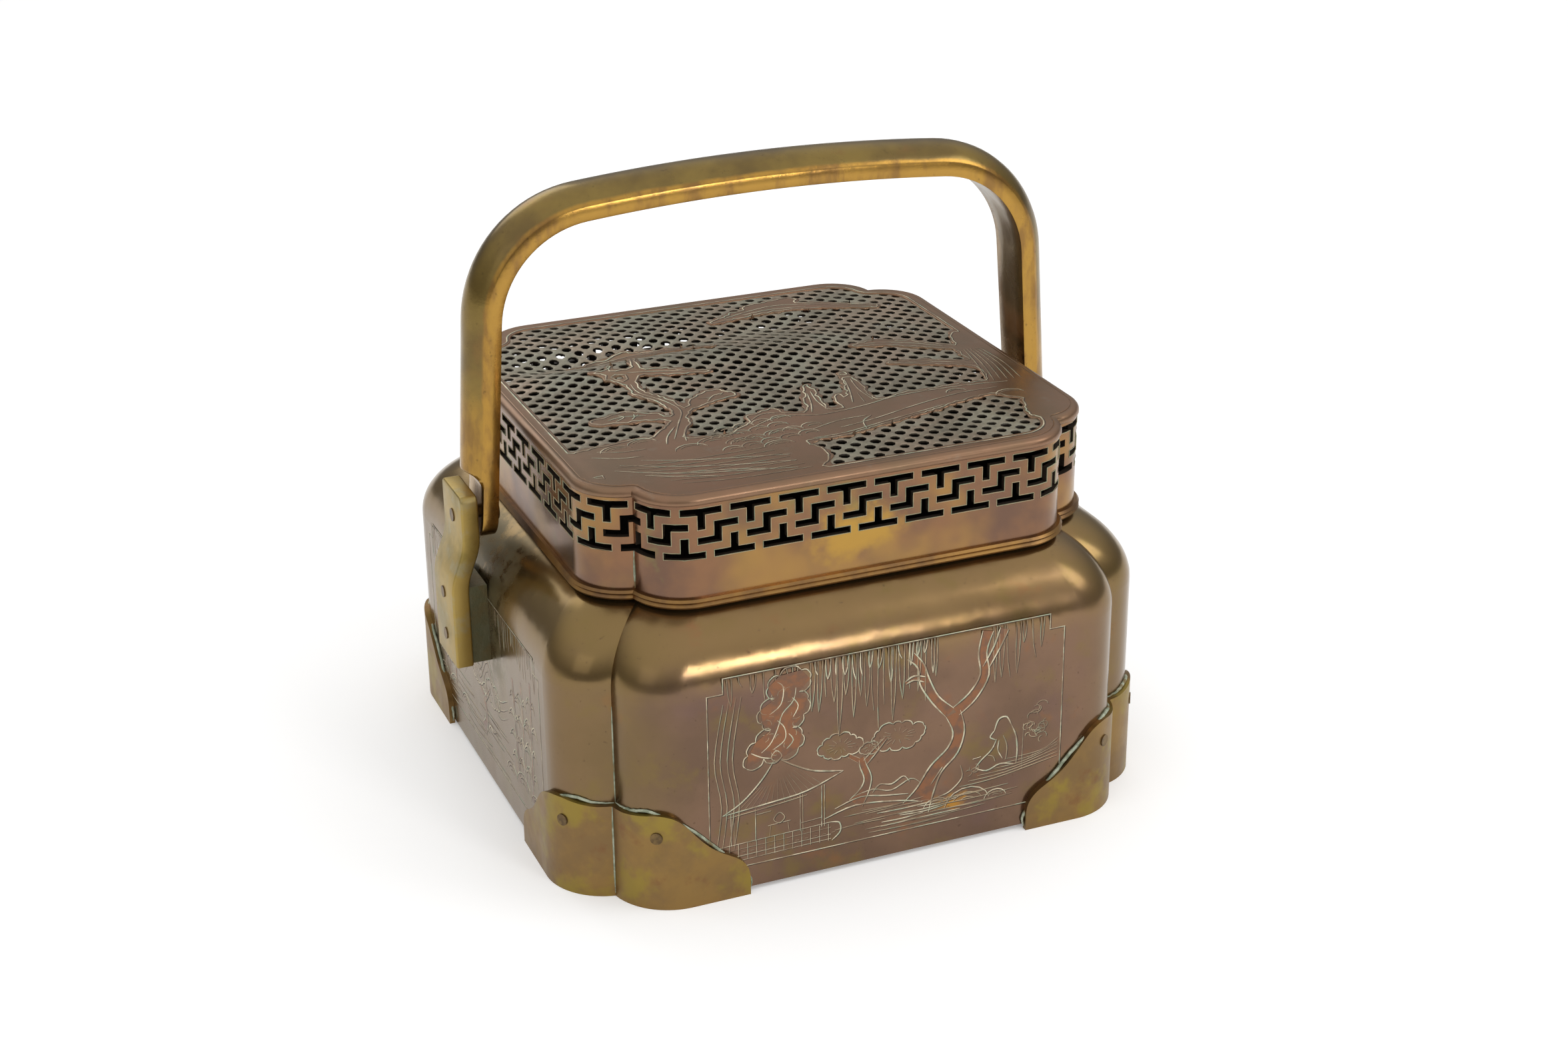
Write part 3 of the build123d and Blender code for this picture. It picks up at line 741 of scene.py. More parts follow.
def pavilion(x, y, scale):
    """A garden pavilion on a railed terrace: roof, finial, posts and rail."""
    def at(*points):
        return [(x + px * scale, y + py * scale) for px, py in points]

    made = [
        stroke(*at((-12.5, 11.2), (-8, 13.6), (-3.4, 18), (-0.6, 22)), weight=1.1),
        stroke(*at((0.8, 22), (4.5, 19.6), (9, 17.4), (15.5, 16)), weight=1.3),
        stroke(*at((-12.5, 11.2), (-2, 12), (7, 13), (15.5, 16)), weight=1.1),
        stroke(*at((-11.6, 10.4), (-2, 11.1), (7, 12)), weight=0.7),
        stroke(*at((-6, 25), (-3.4, 23.4), (-0.8, 22.6)), weight=1.2),
        ring(*at((-1.2, 22.9), (0, 24.3), (1.2, 22.9), (0, 21.7)), steps=4),
    ]
    for tile in range(15):
        foot = -10.6 + tile * 1.55
        base = 11.6 + max(foot, 0) ** 2 * 0.014
        made.append(straight(*at((foot, base), (foot * 0.42, base + 4.6 + (foot > 0) * 1.2)), weight=0.4))
    for place, weight in ((-10.6, 1.0), (-9.9, 0.7), (-5.0, 1.4), (5.4, 1.0), (6.0, 0.8), (10.4, 1.5), (11.1, 0.9)):
        made.append(straight(*at((place, 11.4 + max(place, 0) * 0.2), (place, 3.4)), weight=weight))
    made.append(straight(*at((-5.0, 9.8), (-1.4, 10.0)), weight=1.1))
    made.append(straight(*at((5.6, 5.4), (10.4, 5.7)), weight=1.4))
    for level, weight in ((-0.6, 0.9), (0.5, 1.0), (2.2, 0.8), (3.5, 1.1)):
        made.append(straight(*at((-13.5, level), (12.6, level + 0.5)), weight=weight))
    for post in range(13):
        place = -13.2 + post * 2.1
        made.append(straight(*at((place, -0.5), (place, 3.7)), weight=0.9))
        made.append(straight(*at((place + 0.7, 1.4), (place + 1.5, 1.4)), weight=0.6))
    made.append(stroke(*at((12.6, 4), (14.6, 3.4), (14.8, 1.2), (12.8, -0.6)), weight=1.1))
    return made


def garden_table(x, y):
    """A low table with a round jar, as seen between the posts of a pavilion."""
    return [
        ring((x - 1.3, y + 4.2), (x, y + 5.6), (x + 1.3, y + 4.2), (x, y + 3.0), weight=0.7, steps=3),
        straight((x - 2.6, y + 2.9), (x + 2.6, y + 3.1), weight=0.9),
        straight((x - 2.0, y + 2.8), (x - 2.3, y), weight=0.7),
        straight((x + 2.0, y + 2.9), (x + 2.3, y + 0.2), weight=0.7),
    ]


def seated_scholar(x, y):
    """A very small robed figure sitting by the water, drawn with a handful of cuts and no face."""
    return [
        stroke((x - 1.6, y + 9.0), (x - 0.6, y + 11.6), (x + 1.4, y + 11.8), (x + 2.6, y + 9.6), weight=1.3),
        stroke((x - 1.6, y + 9.0), (x - 2.6, y + 7.6), (x - 1.2, y + 6.6), weight=1.1),
        stroke((x - 1.0, y + 6.8), (x - 2.2, y + 4.4), (x - 4.6, y + 2.4), (x - 6.2, y + 0.6), weight=1.0),
        stroke((x + 2.6, y + 9.6), (x + 3.8, y + 6.6), (x + 4.2, y + 3.0), (x + 4.0, y - 0.4), weight=1.2),
        stroke((x - 6.4, y + 0.8), (x - 3.4, y - 0.6), (x, y + 0.4), (x + 3.6, y - 0.4), weight=1.1),
        stroke((x - 0.4, y + 6.4), (x - 0.6, y + 4.0), (x + 0.6, y + 1.6), weight=0.9),
        stroke((x + 0.6, y + 7.4), (x + 1.6, y + 4.6), (x + 1.4, y + 1.2), weight=0.8),
        stroke((x - 3.2, y + 3.2), (x - 1.8, y + 2.6), (x - 1.2, y + 1.2), weight=0.8),
        straight((x - 6.8, y + 3.0), (x - 4.8, y + 3.2), weight=1.2),
    ]


def spreading_tree(chance, x, y, scale):
    """A small garden tree: a bent, forked trunk under flat clouds of leaves, and the shapes of its wood."""
    def at(*points):
        return [(x + point[0] * scale, y + point[1] * scale, *(w * scale for w in point[2:])) for point in points]

    limbs = [
        at((-3.0, -1, 2.0), (-0.8, 2, 1.2), (0, 5, 0.9), (-1.2, 8.5, 0.8), (-1.6, 10.5, 0.6)),
        at((-0.8, 9, 0.7), (1.6, 11.4, 0.6), (4.6, 14.4, 0.3)),
        at((-1.5, 9.4, 0.6), (-4.6, 11.6, 0.4)),
    ]
    made = [line for limb in limbs for line in both_edges(limb, 1.1)]
    for px, py, across, up, lobes in ((-6.8, 14.6, 5.2, 2.7, 12), (7.4, 14.2, 6.6, 3.0, 14), (0.4, 12.6, 2.4, 1.3, 8)):
        ((cx, cy),) = at((px, py))
        made += leaf_cloud(chance, cx, cy, across * scale, up * scale, lobes, 0.95)
    made.append(stroke(*at((1.2, 0.8), (3.0, 2.6), (6, 2.0), (9, 3.4), (10.6, 1.6)), weight=1.1))
    return made, [limb_ground(limb) for limb in limbs]


def rock_pile(points, nested, weight=0.9):
    """Rounded rocks: each point is x, y and a radius, with a few arcs nested inside."""
    made = []
    for x, y, radius in points:
        for inner in range(nested):
            size = radius * (1 - 0.27 * inner)
            made.append(arc(x, y, size, size * 0.8, 12 + 14 * inner, 172 - 22 * inner, weight * (1 - 0.15 * inner)))
    return made


def lakeside(chance):
    """The drawing of the front wall: willow, pavilion, garden tree, seated figure and water."""
    made = frame_lines(42, 6.5, 52.3, 3.6)
    grounds = []
    made += hanging_fronds(chance, -18, 3, 52, 8, 19, 1.7, 0.7)
    made += hanging_fronds(chance, -17, 12, 52, 3, 9, 2.2, 0.9)
    made += hanging_fronds(chance, 5, 12.5, 52, 8, 16, 2.0, 0.6)
    made += hanging_fronds(chance, 25, 38, 52, 5, 15, 2.0, 0.55)
    made += hanging_fronds(chance, -37, -19, 52, 2, 7, 2.4, 0.55)
    trunk = [
        [(6.4, 11.4, 3.6), (8.6, 15.2, 2.3), (11.2, 20, 1.7), (15.2, 23.8, 1.5), (16.6, 28.2, 1.4), (15.2, 32.8, 1.8)],
        [(14.4, 33.2, 1.3), (10.8, 37.2, 1.0), (8.2, 42, 1.2), (7.2, 46, 0.8), (4.8, 48.8, 1.0)],
        [(15.8, 33.2, 1.3), (19.8, 36.2, 1.2), (22.6, 40.8, 1.1), (22, 46.2, 1.0), (23.2, 51.2, 1.3)],
        [(22.8, 42.4, 0.8), (25.4, 46.8, 0.8), (27.2, 51, 1.1)],
        [(8.2, 42.6, 0.6), (5.6, 43.4, 0.5), (3.6, 42.6, 0.3)],
    ]
    for chain in trunk:
        made += both_edges(chain, 1.35)
        grounds.append(limb_ground(chain))
    for points in (
        [(11.4, 12.8), (14.6, 13.6), (17.6, 16.4), (17.2, 19.6)],
        [(-9, 17.6), (-4, 18.4), (0.4, 17.2), (5, 19.0), (7.4, 17.6)],
        [(-13, 15.6), (-7, 17.2), (-1, 16.2), (4.6, 15.4)],
        [(10, 16.4), (11.6, 18.6), (12.8, 20.2)],
    ):
        made.append(stroke(*points, weight=0.95))
    tree, wood = spreading_tree(chance, -5.2, 16.8, 0.95)
    made += tree
    grounds += wood
    made += pavilion(-26.5, 8.6, 1.0)
    made += garden_table(-26, 12.2)
    for shift in (0, 1.3, 2.9, 4.1):
        top = chance.uniform(46, 50.5)
        made.append(
            stroke((-40.6 + shift, 11), (-39.2 + shift, 22), (-40.6 + shift, 33), (-38.4 + shift, top), weight=0.6 + 0.1 * (shift > 2))
        )
    crag = [
        (-33.4, 30), (-29.4, 31.6), (-25.6, 30.8), (-21.4, 32.6), (-20.6, 35.6), (-22.8, 37.6), (-20.2, 40.2),
        (-19.2, 43.6), (-21.2, 45.8), (-18.6, 48.4), (-20.6, 50.8), (-25.6, 50.4), (-28.2, 48.2), (-26.8, 45.2),
        (-30, 43.2), (-29.6, 39.8), (-27.6, 38.2), (-31.2, 35.8), (-33, 33),
    ]
    made += shell_row([*reversed(crag), crag[-1]], 0.26, 0.9)
    grounds.append(crag)
    for points in (
        [(-31, 32.4), (-28, 34.6), (-26.2, 38), (-25, 41.4), (-22.4, 44.2), (-21.8, 48.4)],
        [(-27.8, 33), (-24.6, 35), (-24.6, 38), (-26.6, 40.4)],
        [(-24.4, 32.6), (-22.6, 34.6), (-23.8, 36.6)],
        [(-28.6, 41.4), (-25.4, 43.6), (-24.8, 47.6), (-26.4, 49.2)],
        [(-22.8, 39.8), (-21.4, 42.6), (-23, 45)],
    ):
        made.append(stroke(*points, weight=1.1))
    made += scribbled_bush(chance, -25.8, 40.5, 4.4, 8.6, 22, 0.7)
    made += seated_scholar(27, 17.4)
    made.append(straight((32.4, 15.4), (32.6, 26.6), weight=0.9))
    made += scribbled_bush(chance, 36, 26, 3.6, 4.6, 22, 0.6)
    made += scribbled_bush(chance, 20.5, 17, 2.4, 1.4, 6, 0.7)
    for run in range(6):
        start, level = 17 + run * 2.2, 14.2 + run * 0.9
        made.append(stroke((start, level), (start + 9, level + 0.3), (41.4, level + 2.6), weight=0.7 - 0.05 * run))
    for hatch in range(9):
        made.append(straight((34 + hatch * 0.8, 17.6 + hatch * 0.2), (35.6 + hatch * 0.8, 18.8 + hatch * 0.2), weight=0.5))
    made += still_water(chance, -13, 40, 7.4, 14.0, 15, 0.6)
    made += still_water(chance, -11, 24, 8.4, 12.6, 6, 0.9)
    made += rock_pile([(19, 9.2, 5.6), (11.4, 10.2, 3.2), (26, 9.4, 2.8)], 3, 0.9)
    made.append(stroke((-15.6, 13.6), (-8, 15.4), (2, 14.2), (8, 12.6), weight=1.1))
    return made, grounds


def bamboo_bank(chance):
    """The drawing of a side wall: bamboo, rocks and a far ridge over water."""
    made = frame_lines(43, 7.5, 49.5, 3.6)
    grounds = []
    for x, lean in ((-35, 1.5), (-31, 3.0), (-26, 1.0), (25, -2.0), (30, -0.5), (35, 1.4)):
        top = chance.uniform(37, 45)
        cane = [(x, 12, 0.6), (x + lean * 0.5, 25, 0.55), (x + lean, top, 0.4)]
        made += both_edges(cane, 0.9)
        grounds.append(limb_ground(cane))
        for joint in range(1, 5):
            level = 12 + joint * (top - 12) / 5
            shift = lean * (level - 12) / (top - 12)
            made.append(straight((x + shift - 0.7, level), (x + shift + 0.7, level), weight=0.7))
            for side in (-1, 1):
                run = side * chance.uniform(3.0, 5.2)
                made.append(stroke((x + shift, level), (x + shift + run * 0.5, level + 1.9), (x + shift + run, level - 0.4)))
                made.append(stroke((x + shift, level), (x + shift + run * 0.6, level + 0.6), (x + shift + run, level - 0.4),
                                   weight=0.7))
    rocks = [(-36, 11, 4), (-27, 10.5, 5), (-18, 11, 3.4), (19, 10.5, 4.2), (28, 11, 5.4), (37, 11, 4)]
    made += rock_pile(rocks, 3)
    for shift, weight in ((0, 0.9), (2.2, 0.7), (4.4, 0.5)):
        made.append(stroke((-18, 24 - shift), (-10, 31 - shift), (-4, 27 - shift), (3, 34 - shift), (10, 26 - shift),
                           (18, 29 - shift), weight=weight))
    tree, wood = spreading_tree(chance, 0, 13, 0.85)
    made += tree
    grounds += wood
    made += hanging_fronds(chance, -40, -12, 49.3, 3, 9, 1.9, 0.7)
    made += hanging_fronds(chance, 12, 40, 49.3, 3, 9, 1.9, 0.7)
    made += still_water(chance, -40, 40, 8.6, 19, 22, 0.7)
    return made, grounds


def mountain_shore(chance):
    """The drawing of the back wall: a garden tree, a pavilion and peaks over a lake."""
    made = frame_lines(42, 6.5, 52.3, 3.6)
    for shift, size in ((0, 1.0), (1.8, 0.8), (3.6, 0.6)):
        made.append(
            stroke((-12, 30 - shift), (-3, 42 - shift), (3, 36 - shift), (11, 46 - shift), (24, 32 - shift), weight=size)
        )
    tree, grounds = spreading_tree(chance, -24, 12.5, 1.35)
    made += tree
    made += pavilion(22, 9, 0.95)
    made += garden_table(22, 12.4)
    made += rock_pile([(-36, 11, 4.5), (-20, 11, 3.6), (3, 11, 4)], 3)
    made += scribbled_bush(chance, 37, 24, 3, 5, 16)
    made += still_water(chance, -40, 40, 8, 20, 28)
    made += hanging_fronds(chance, -38, 2, 52, 3, 12, 1.7, 0.8)
    return made, grounds


def on_wall(quarter):
    """The place of a drawing's point on a wall of the pot, turned by quarters from the front."""
    turn = Matrix.Rotation(math.pi / 2 * quarter, 3, "Z")
    return lambda x, y, out: turn @ Vector((x, -(pot_high.x + out), y))


# The solid lands of the pierced top: each chain has points of x, y and half the land's width.
LANDS = [
    [(-51, -34, 8.5), (-41, -34.5, 9.5), (-31, -38, 8.6), (-22, -41, 9.8), (-13, -48, 8.5)],
    [(-46, -47, 9), (-30, -50, 8), (-18, -53, 7)],
    [(-16, -34, 5.5), (-8, -33, 9.0), (2, -34.5, 7.6), (14, -32.5, 6.6), (26, -29.5, 6.3), (38, -27.5, 4.8), (52, -27, 4)],
    [(-33, -27, 4.0), (-28.5, -21, 2.7), (-25.5, -14, 2.2), (-26.5, -7, 2.0), (-30, 0, 1.9), (-30, 7, 1.7), (-26, 13, 1.5),
     (-25, 20, 1.2)],
    [(-29, 5, 1.2), (-34, 11, 1.0), (-31, 18, 0.9)],
    [(-28, -18, 1.6), (-35, -14.5, 1.6)],
    [(-44, -12.5, 2.4), (-38, -12.5, 3.6), (-32, -14.5, 2.4)],
    [(-26, -15, 1.3), (-20, -12, 1.6)],
    [(-20, -10.5, 3.0), (-15, -8, 3.4), (-12, -9.5, 2.2)],
    [(2.5, -26, 3.0), (4.0, -19, 2.2), (5.6, -14, 1.8)],
    [(5.8, -11.6, 1.3), (5.9, -11.3, 1.3)],
    [(14, -24, 3.4), (15.4, -17, 2.7), (16.6, -11, 2.1)],
    [(17, -7.4, 1.5), (17.1, -7.2, 1.5)],
    [(9.5, -25, 2.0), (10, -20, 1.5)],
    [(-12, -25, 2.6), (-7, -23, 2.2)],
    [(50, -30, 6.5), (53, -18, 5.6), (53, -4, 4.8), (55, 8, 3.4)],
    [(47, -46, 3.0), (52, -38, 5.0)],
    [(27, 9, 1.2), (33, 9.5, 2.3), (40, 6.5, 2.6), (48, 1, 2.2)],
    [(30, -4.5, 1.1), (38, -6.8, 2.0), (47, -11, 2.2), (52, -15, 2.4)],
    [(-38, 26, 1.3), (-31, 28, 2.4), (-23, 29.5, 2.9), (-14, 27, 2.6), (-4, 22.5, 1.4)],
    [(-36, 15, 1.1), (-28, 12, 1.9), (-20, 9.8, 2.1), (-11, 6.6, 1.2)],
    [(3, 40, 1.2), (11, 43, 2.6), (22, 45, 3.4), (33, 42, 2.6), (45, 36, 1.5)],
    [(16, 47, 2.6), (27, 49, 2.6)],
]
LID_BORDER = 4.7
LID_ROLL = 1.9
# Dents and ripples in the old pierced top: x, y, reach along x and y, and depth.
DENTS = [
    (-30, 29, 22, 5.5, 2.4),
    (-22, 17, 24, 7, -1.3),
    (14, 33, 12, 7, 0.9),
    (33, -42, 12, 7, 0.4),
    (12, 14, 16, 9, -0.6),
]


def edge_distance(x, y):
    """How far inside the outline of the lid's plate each point lies."""
    rim = np.array(outline(plate_high.x, LID_LOBE))
    nearest = np.full(x.shape, np.inf)
    for start, end in zip(rim, np.roll(rim, -1, axis=0)):
        run = end - start
        share = np.clip(((x - start[0]) * run[0] + (y - start[1]) * run[1]) / (run @ run), 0, 1)
        nearest = np.minimum(nearest, np.hypot(x - start[0] - share * run[0], y - start[1] - share * run[1]))
    radius, offset = LID_LOBE
    near, far = plate_high.x - radius, plate_high.x - radius - offset
    u, v = np.abs(x), np.abs(y)
    inside = ((u < plate_high.x) & (v < far)) | ((v < plate_high.x) & (u < far))
    inside |= (np.hypot(u - near, v - far) < radius) | (np.hypot(u - far, v - near) < radius)
    return np.where(inside, nearest, -nearest)


def blend_of(first, second, reach):
    """The lower of two distances, rounded where they cross."""
    share = np.clip(reach - np.abs(first - second), 0, None) / reach
    return np.minimum(first, second) - share**2 * reach / 4


def land_distance(x, y):
    """How far outside the solid lands each point lies, and less than nothing inside them."""
    nearest = np.full(x.shape, 1e3)
    for chain in LANDS:
        for (x0, y0, r0), (x1, y1, r1) in zip(chain, chain[1:]):
            run = (x1 - x0) ** 2 + (y1 - y0) ** 2
            share = np.clip(((x - x0) * (x1 - x0) + (y - y0) * (y1 - y0)) / run, 0, 1)
            away = np.hypot(x - x0 - share * (x1 - x0), y - y0 - share * (y1 - y0))
            nearest = blend_of(nearest, away - r0 - share * (r1 - r0), 1.2)
    wobble = np.sin(x * 1.45 + 1.3 * np.sin(y * 0.9)) * np.sin(y * 1.6 + 1.1 * np.sin(x * 0.8))
    return nearest + 0.42 * wobble


def solid_distance(x, y):
    """How far outside the solid sheet of the lid's top each point lies: its border and lands."""
    edge = edge_distance(x, y)
    solid = blend_of(edge - LID_BORDER, land_distance(x, y), 1.0)
    return np.maximum(solid, LID_ROLL - edge)


def top_rise(x, y, crown):
    """How far the old pierced top rises over its border: a low crown with dents."""
    shape = np.clip(1 - (x / 56) ** 2, 0, 1) * np.clip(1 - (y / 56) ** 2, 0, 1)
    rise = crown * shape**0.8
    calm = np.clip(shape * 3, 0, 1)
    for px, py, across, along, depth in DENTS:
        rise = rise - calm * depth * np.exp(-(((x - px) / across) ** 2) - ((y - py) / along) ** 2)
    return rise


def field_mesh(cell, field):
    """A flat grid that is kept where a field is below nothing, with its edge drawn onto the line."""
    reach = plate_high.x
    count = int(2 * reach / cell)
    bm = bmesh.new()
    bmesh.ops.create_grid(bm, x_segments=count, y_segments=count, size=reach)
    places = np.array([vert.co[:2] for vert in bm.verts])
    outside = field(places[:, 0], places[:, 1]) > 0
    bm.verts.index_update()
    drop = [face for face in bm.faces if all(outside[vert.index] for vert in face.verts)]
    bmesh.ops.delete(bm, geom=drop, context="FACES")
    places = np.array([vert.co[:2] for vert in bm.verts])
    step = 0.02
    for _ in range(3):
        x, y = places[:, 0], places[:, 1]
        value = field(x, y)
        slope = np.stack([field(x + step, y) - value, field(x, y + step) - value], 1) / step
        size = np.maximum((slope**2).sum(1), 0.25)
        moving = value > 0 if _ == 0 else moving
        shift = np.clip(value / size, -cell, cell)[:, None] * slope
        places[moving] -= shift[moving]
    for vert, (x, y) in zip(bm.verts, places):
        vert.co = (x, y, 0)
    return bm


def lid_surface(settings, sink=0.0, out=0.0):
    """The place of a point of the lid's top on its crowned and dented surface."""
    crown = settings.lid_crown / MM
    base = plate_high.z - 0.06 - sink + out
    return lambda x, y, up: Vector((x, y, base + up + float(top_rise(x, y, crown))))


def contour_lines(inset, cell=0.7, weight=1.0):
    """Lines that follow the edge of the lid's solid sheet, set in by a distance."""
    bm = field_mesh(cell, lambda x, y: solid_distance(x, y) + inset)
    border = [edge for edge in bm.edges if edge.is_boundary]
    after = {}
    for edge in border:
        for vert in edge.verts:
            after.setdefault(vert, []).append(edge)
    left = set(border)
    made = []
    while left:
        edge = left.pop()
        start, vert = edge.verts
        line = [start, vert]
        while vert is not start:
            onward = [other for other in after[vert] if other in left]
            if not onward:
                break
            left.discard(onward[0])
            vert = onward[0].other_vert(vert)
            line.append(vert)
        if len(line) > 6:
            made.append(([tuple(v.co[:2]) for v in line[::2]], False, weight))
    bm.free()
    return made


def lid_engraving():
    """The lines cut into the solid lands and the border of the lid's top."""
    made = [line for line in contour_lines(0.75, weight=1.2) if edge_distance(*np.array(line[0]).T).min() > 2.9]
    for points in (
        [(-50, -40), (-40, -46), (-28, -50), (-14, -53.5)],
        [(-48, -37.6), (-38, -43), (-26, -47.2), (-13, -50)],
        [(-43, -37), (-34, -41), (-24, -44), (-13, -46.6)],
        [(-45, -45), (-38, -48.6), (-30, -51.4)],
        [(-36, -47), (-28, -49), (-19, -52)],
        [(-52, -31), (-47, -34), (-42, -35)],
        [(-50, -28.5), (-45, -31), (-40, -31.5)],
        [(-16.5, -31), (-7, -26.4), (2, -29), (13, -27.6), (23, -25), (38, -24.6), (50, -25.4)],
        [(-5, -40.6), (3, -40.4), (15, -37.4), (30, -33.6)],
        [(3, -37.4), (12, -35.6), (24, -31.6), (36, -28.6), (46, -28)],
        [(-3, -36), (4, -33.6), (11, -33.2)],
        [(8, -40), (9, -36), (12, -33.5)],
        [(-32.5, -29), (-28.6, -21), (-25.4, -14), (-26.6, -7), (-30, 0.4), (-30, 6)],
        [(-35, -31), (-33.4, -27), (-30, -22.4)],
        [(-30.5, -31), (-29.4, -27), (-27.4, -23)],
        [(-42, -12.6), (-38, -12), (-33.4, -13.6)],
        [(-39, -10.8), (-38.2, -12.4), (-40.6, -14)],
        [(-35.6, -11.6), (-36, -13.2), (-37, -14.4)],
        [(-18, -11.4), (-15.6, -8.6), (-13, -8)],
        [(-19.6, -9), (-16.4, -9.4)],
        [(0.6, -27), (2.6, -22), (4.2, -16)],
        [(4.6, -27), (4.4, -21), (5.4, -15)],
        [(11.4, -25), (13.8, -18), (15.6, -11)],
        [(16.4, -25), (16.0, -18), (17.0, -11.4)],
        [(14, -25.6), (14.8, -20)],
        [(-13.4, -26), (-10, -23.6), (-6, -24.4)],
        [(-33, 27.6), (-27, 29.4), (-20, 29.6), (-12, 26.4)],
        [(-29, 12.2), (-22, 10.4), (-15, 8.2)],
        [(30, 9.4), (36, 8.6), (42, 5.4), (47, 1.6)],
        [(34, -5.6), (41, -8), (49, -12.4)],
        [(7, 41.6), (13, 44), (22, 46), (32, 43), (41, 38.4)],
        [(12, 42.4), (20, 43.6), (29, 42.2)],
    ):
        made.append(stroke(*points, weight=0.9))
    for line in range(6):
        shift = 1.7 * line
        made.append(stroke((45.6 + shift, -24), (48.6 + shift * 0.8, -13), (50.6 + shift * 0.5, -2), weight=0.8))
    made += rock_pile([(-46, -30, 3.6), (-39.6, -28.6, 3.4), (-25, -34.6, 4.2), (-18.6, -37.4, 4.0), (-13, -41.6, 3.6)], 3)
    made += rock_pile([(-31, -36, 3.8), (-20.6, -33, 3.0), (-9.4, -36, 3.8), (36, -27.8, 2.6), (47, -33, 3.6)], 2)
    for row in range(4):
        for place in range(5 - row // 2):
            x, y = -23 + place * 4.6 + 2.1 * (row % 2), -40 + row * 3.5 + place * 0.5
            made.append(arc(x, y, 2.5, 2.3, 8, 168, 0.9))
            made.append(arc(x + 0.4, y - 0.2, 1.5, 1.3, 20, 150, 0.7))
    for run in range(7):
        start, level = -49 + run * 1.6, -38.5 - run * 2.2
        made.append(stroke((start, level), (start + 12, level - 2.2), (-16 + run * 0.8, level - 2.6), weight=0.8))
    for x, y, lean in ((-39, -12.4, 1), (-36, -13.2, -1), (-16.4, -9.4, 1), (-14.2, -8.8, -1)):
        made.append(stroke((x - 1.4, y - 1.0 * lean), (x, y), (x + 1.3, y + 1.1), weight=0.7))
        made.append(stroke((x, y), (x + 1.4, y - 1.0), weight=0.7))
    return made


def build_lid_top(settings):
    """The pierced top: a rolled edge, the solid border and lands, and the mesh between them."""
    crown = settings.lid_crown / MM
    copper = land_copper(settings)

    lands = field_mesh(0.56, solid_distance)
    surface = lid_surface(settings)
    for vert in lands.verts:
        vert.co = surface(vert.co.x, vert.co.y, 0)
    lands_piece = finish_piece(lands, "lid_lands", "lid", copper, ["lid_top_plate"])
    wall = lands_piece.modifiers.new("sheet", "SOLIDIFY")
    wall.thickness = 0.0009
    wall.offset = -1

    build_lid_mesh(settings, crown)

    edge = bmesh.new()
    low, high = plate_low.z, plate_high.z
    steps = [(3.2, low), (0.25, low), (0.0, low + 0.25), (0.0, low + 0.75), (0.13, high - 0.85), (0.45, high - 0.45)]
    steps += [(0.9, high - 0.19), (1.4, high - 0.08), (2.0, high - 0.06), (2.3, high - 0.3), (2.4, low + 0.5)]
    loops = []
    for inset, level in steps:
        verts = [edge.verts.new((x, y, level)) for x, y in outline(plate_high.x, LID_LOBE, inset, 10)]
        loops.append([edge.edges.new((a, b)) for a, b in zip(verts, verts[1:] + verts[:1])])
    for lower, upper in zip(loops, loops[1:] + loops[:1]):
        bmesh.ops.bridge_loops(edge, edges=lower + upper)
    bmesh.ops.recalc_face_normals(edge, faces=edge.faces)
    finish_piece(edge, "lid_rolled_edge", "lid", copper, crease=50)

    surface = lid_surface(settings, out=0.015)
    cut_lines(lid_engraving(), settings, surface, "lid_engraving", "lid", line_finishes(settings))


def build_lid_mesh(settings, crown):
    """The sawn mesh: a diagonal grid of worn rhombic holes with rounded wires."""
    pitch, wire = settings.mesh_pitch / MM, settings.mesh_wire / MM
    count = 2 * int(plate_high.x * math.sqrt(2) / pitch)
    bm = bmesh.new()
    bmesh.ops.create_grid(bm, x_segments=count, y_segments=count, size=count * pitch / 2)
    bmesh.ops.rotate(bm, matrix=Matrix.Rotation(math.radians(45), 3, "Z"), verts=bm.verts)
    middles = np.array([face.calc_center_median()[:2] for face in bm.faces])
    edge = edge_distance(middles[:, 0], middles[:, 1])
    land = land_distance(middles[:, 0], middles[:, 1])
    unused = (edge < 2.6) | (land < -2.6)
    bm.faces.ensure_lookup_table()
    drop = [face for face, away in zip(bm.faces, unused) if away]
    bmesh.ops.delete(bm, geom=drop, context="FACES")
    holes = list(bm.faces)
    bmesh.ops.inset_individual(bm, faces=holes, thickness=wire / 2, depth=0, use_even_offset=True)
    chance = random.Random(11)
    for face in holes:
        middle = face.calc_center_median()
        size = chance.uniform(0.9, 1.1)
        shift = Vector((chance.uniform(-0.09, 0.09), chance.uniform(-0.09, 0.09), 0))
        for vert in face.verts:
            vert.co = middle + (vert.co - middle) * size + shift
    bmesh.ops.delete(bm, geom=holes, context="FACES_ONLY")
    surface = lid_surface(settings, settings.mesh_sink / MM)
    for vert in bm.verts:
        vert.co = surface(vert.co.x, vert.co.y, chance.uniform(-0.05, 0.05))
    piece = finish_piece(bm, "lid_mesh", "lid", mesh_copper(settings), crease=80)
    wall = piece.modifiers.new("sheet", "SOLIDIFY")
    wall.thickness = 0.00085
    wall.offset = -1
    worn = piece.modifiers.new("worn", "SUBSURF")
    worn.levels = 1
    worn.render_levels = 1


FRET_BARS = {
    "tee": [(-2.5, 0), (2.5, 0), (2.5, 1), (0.5, 1), (0.5, 3), (-0.5, 3), (-0.5, 1), (-2.5, 1)],
    "crank": [(1.5, 2), (4.5, 2), (4.5, 3), (2.5, 3), (2.5, 5), (-0.5, 5), (-0.5, 4), (1.5, 4)],
    "foot": [(3.5, 4), (4.5, 4), (4.5, 6), (6.5, 6), (6.5, 7), (1.5, 7), (1.5, 6), (3.5, 6)],
}


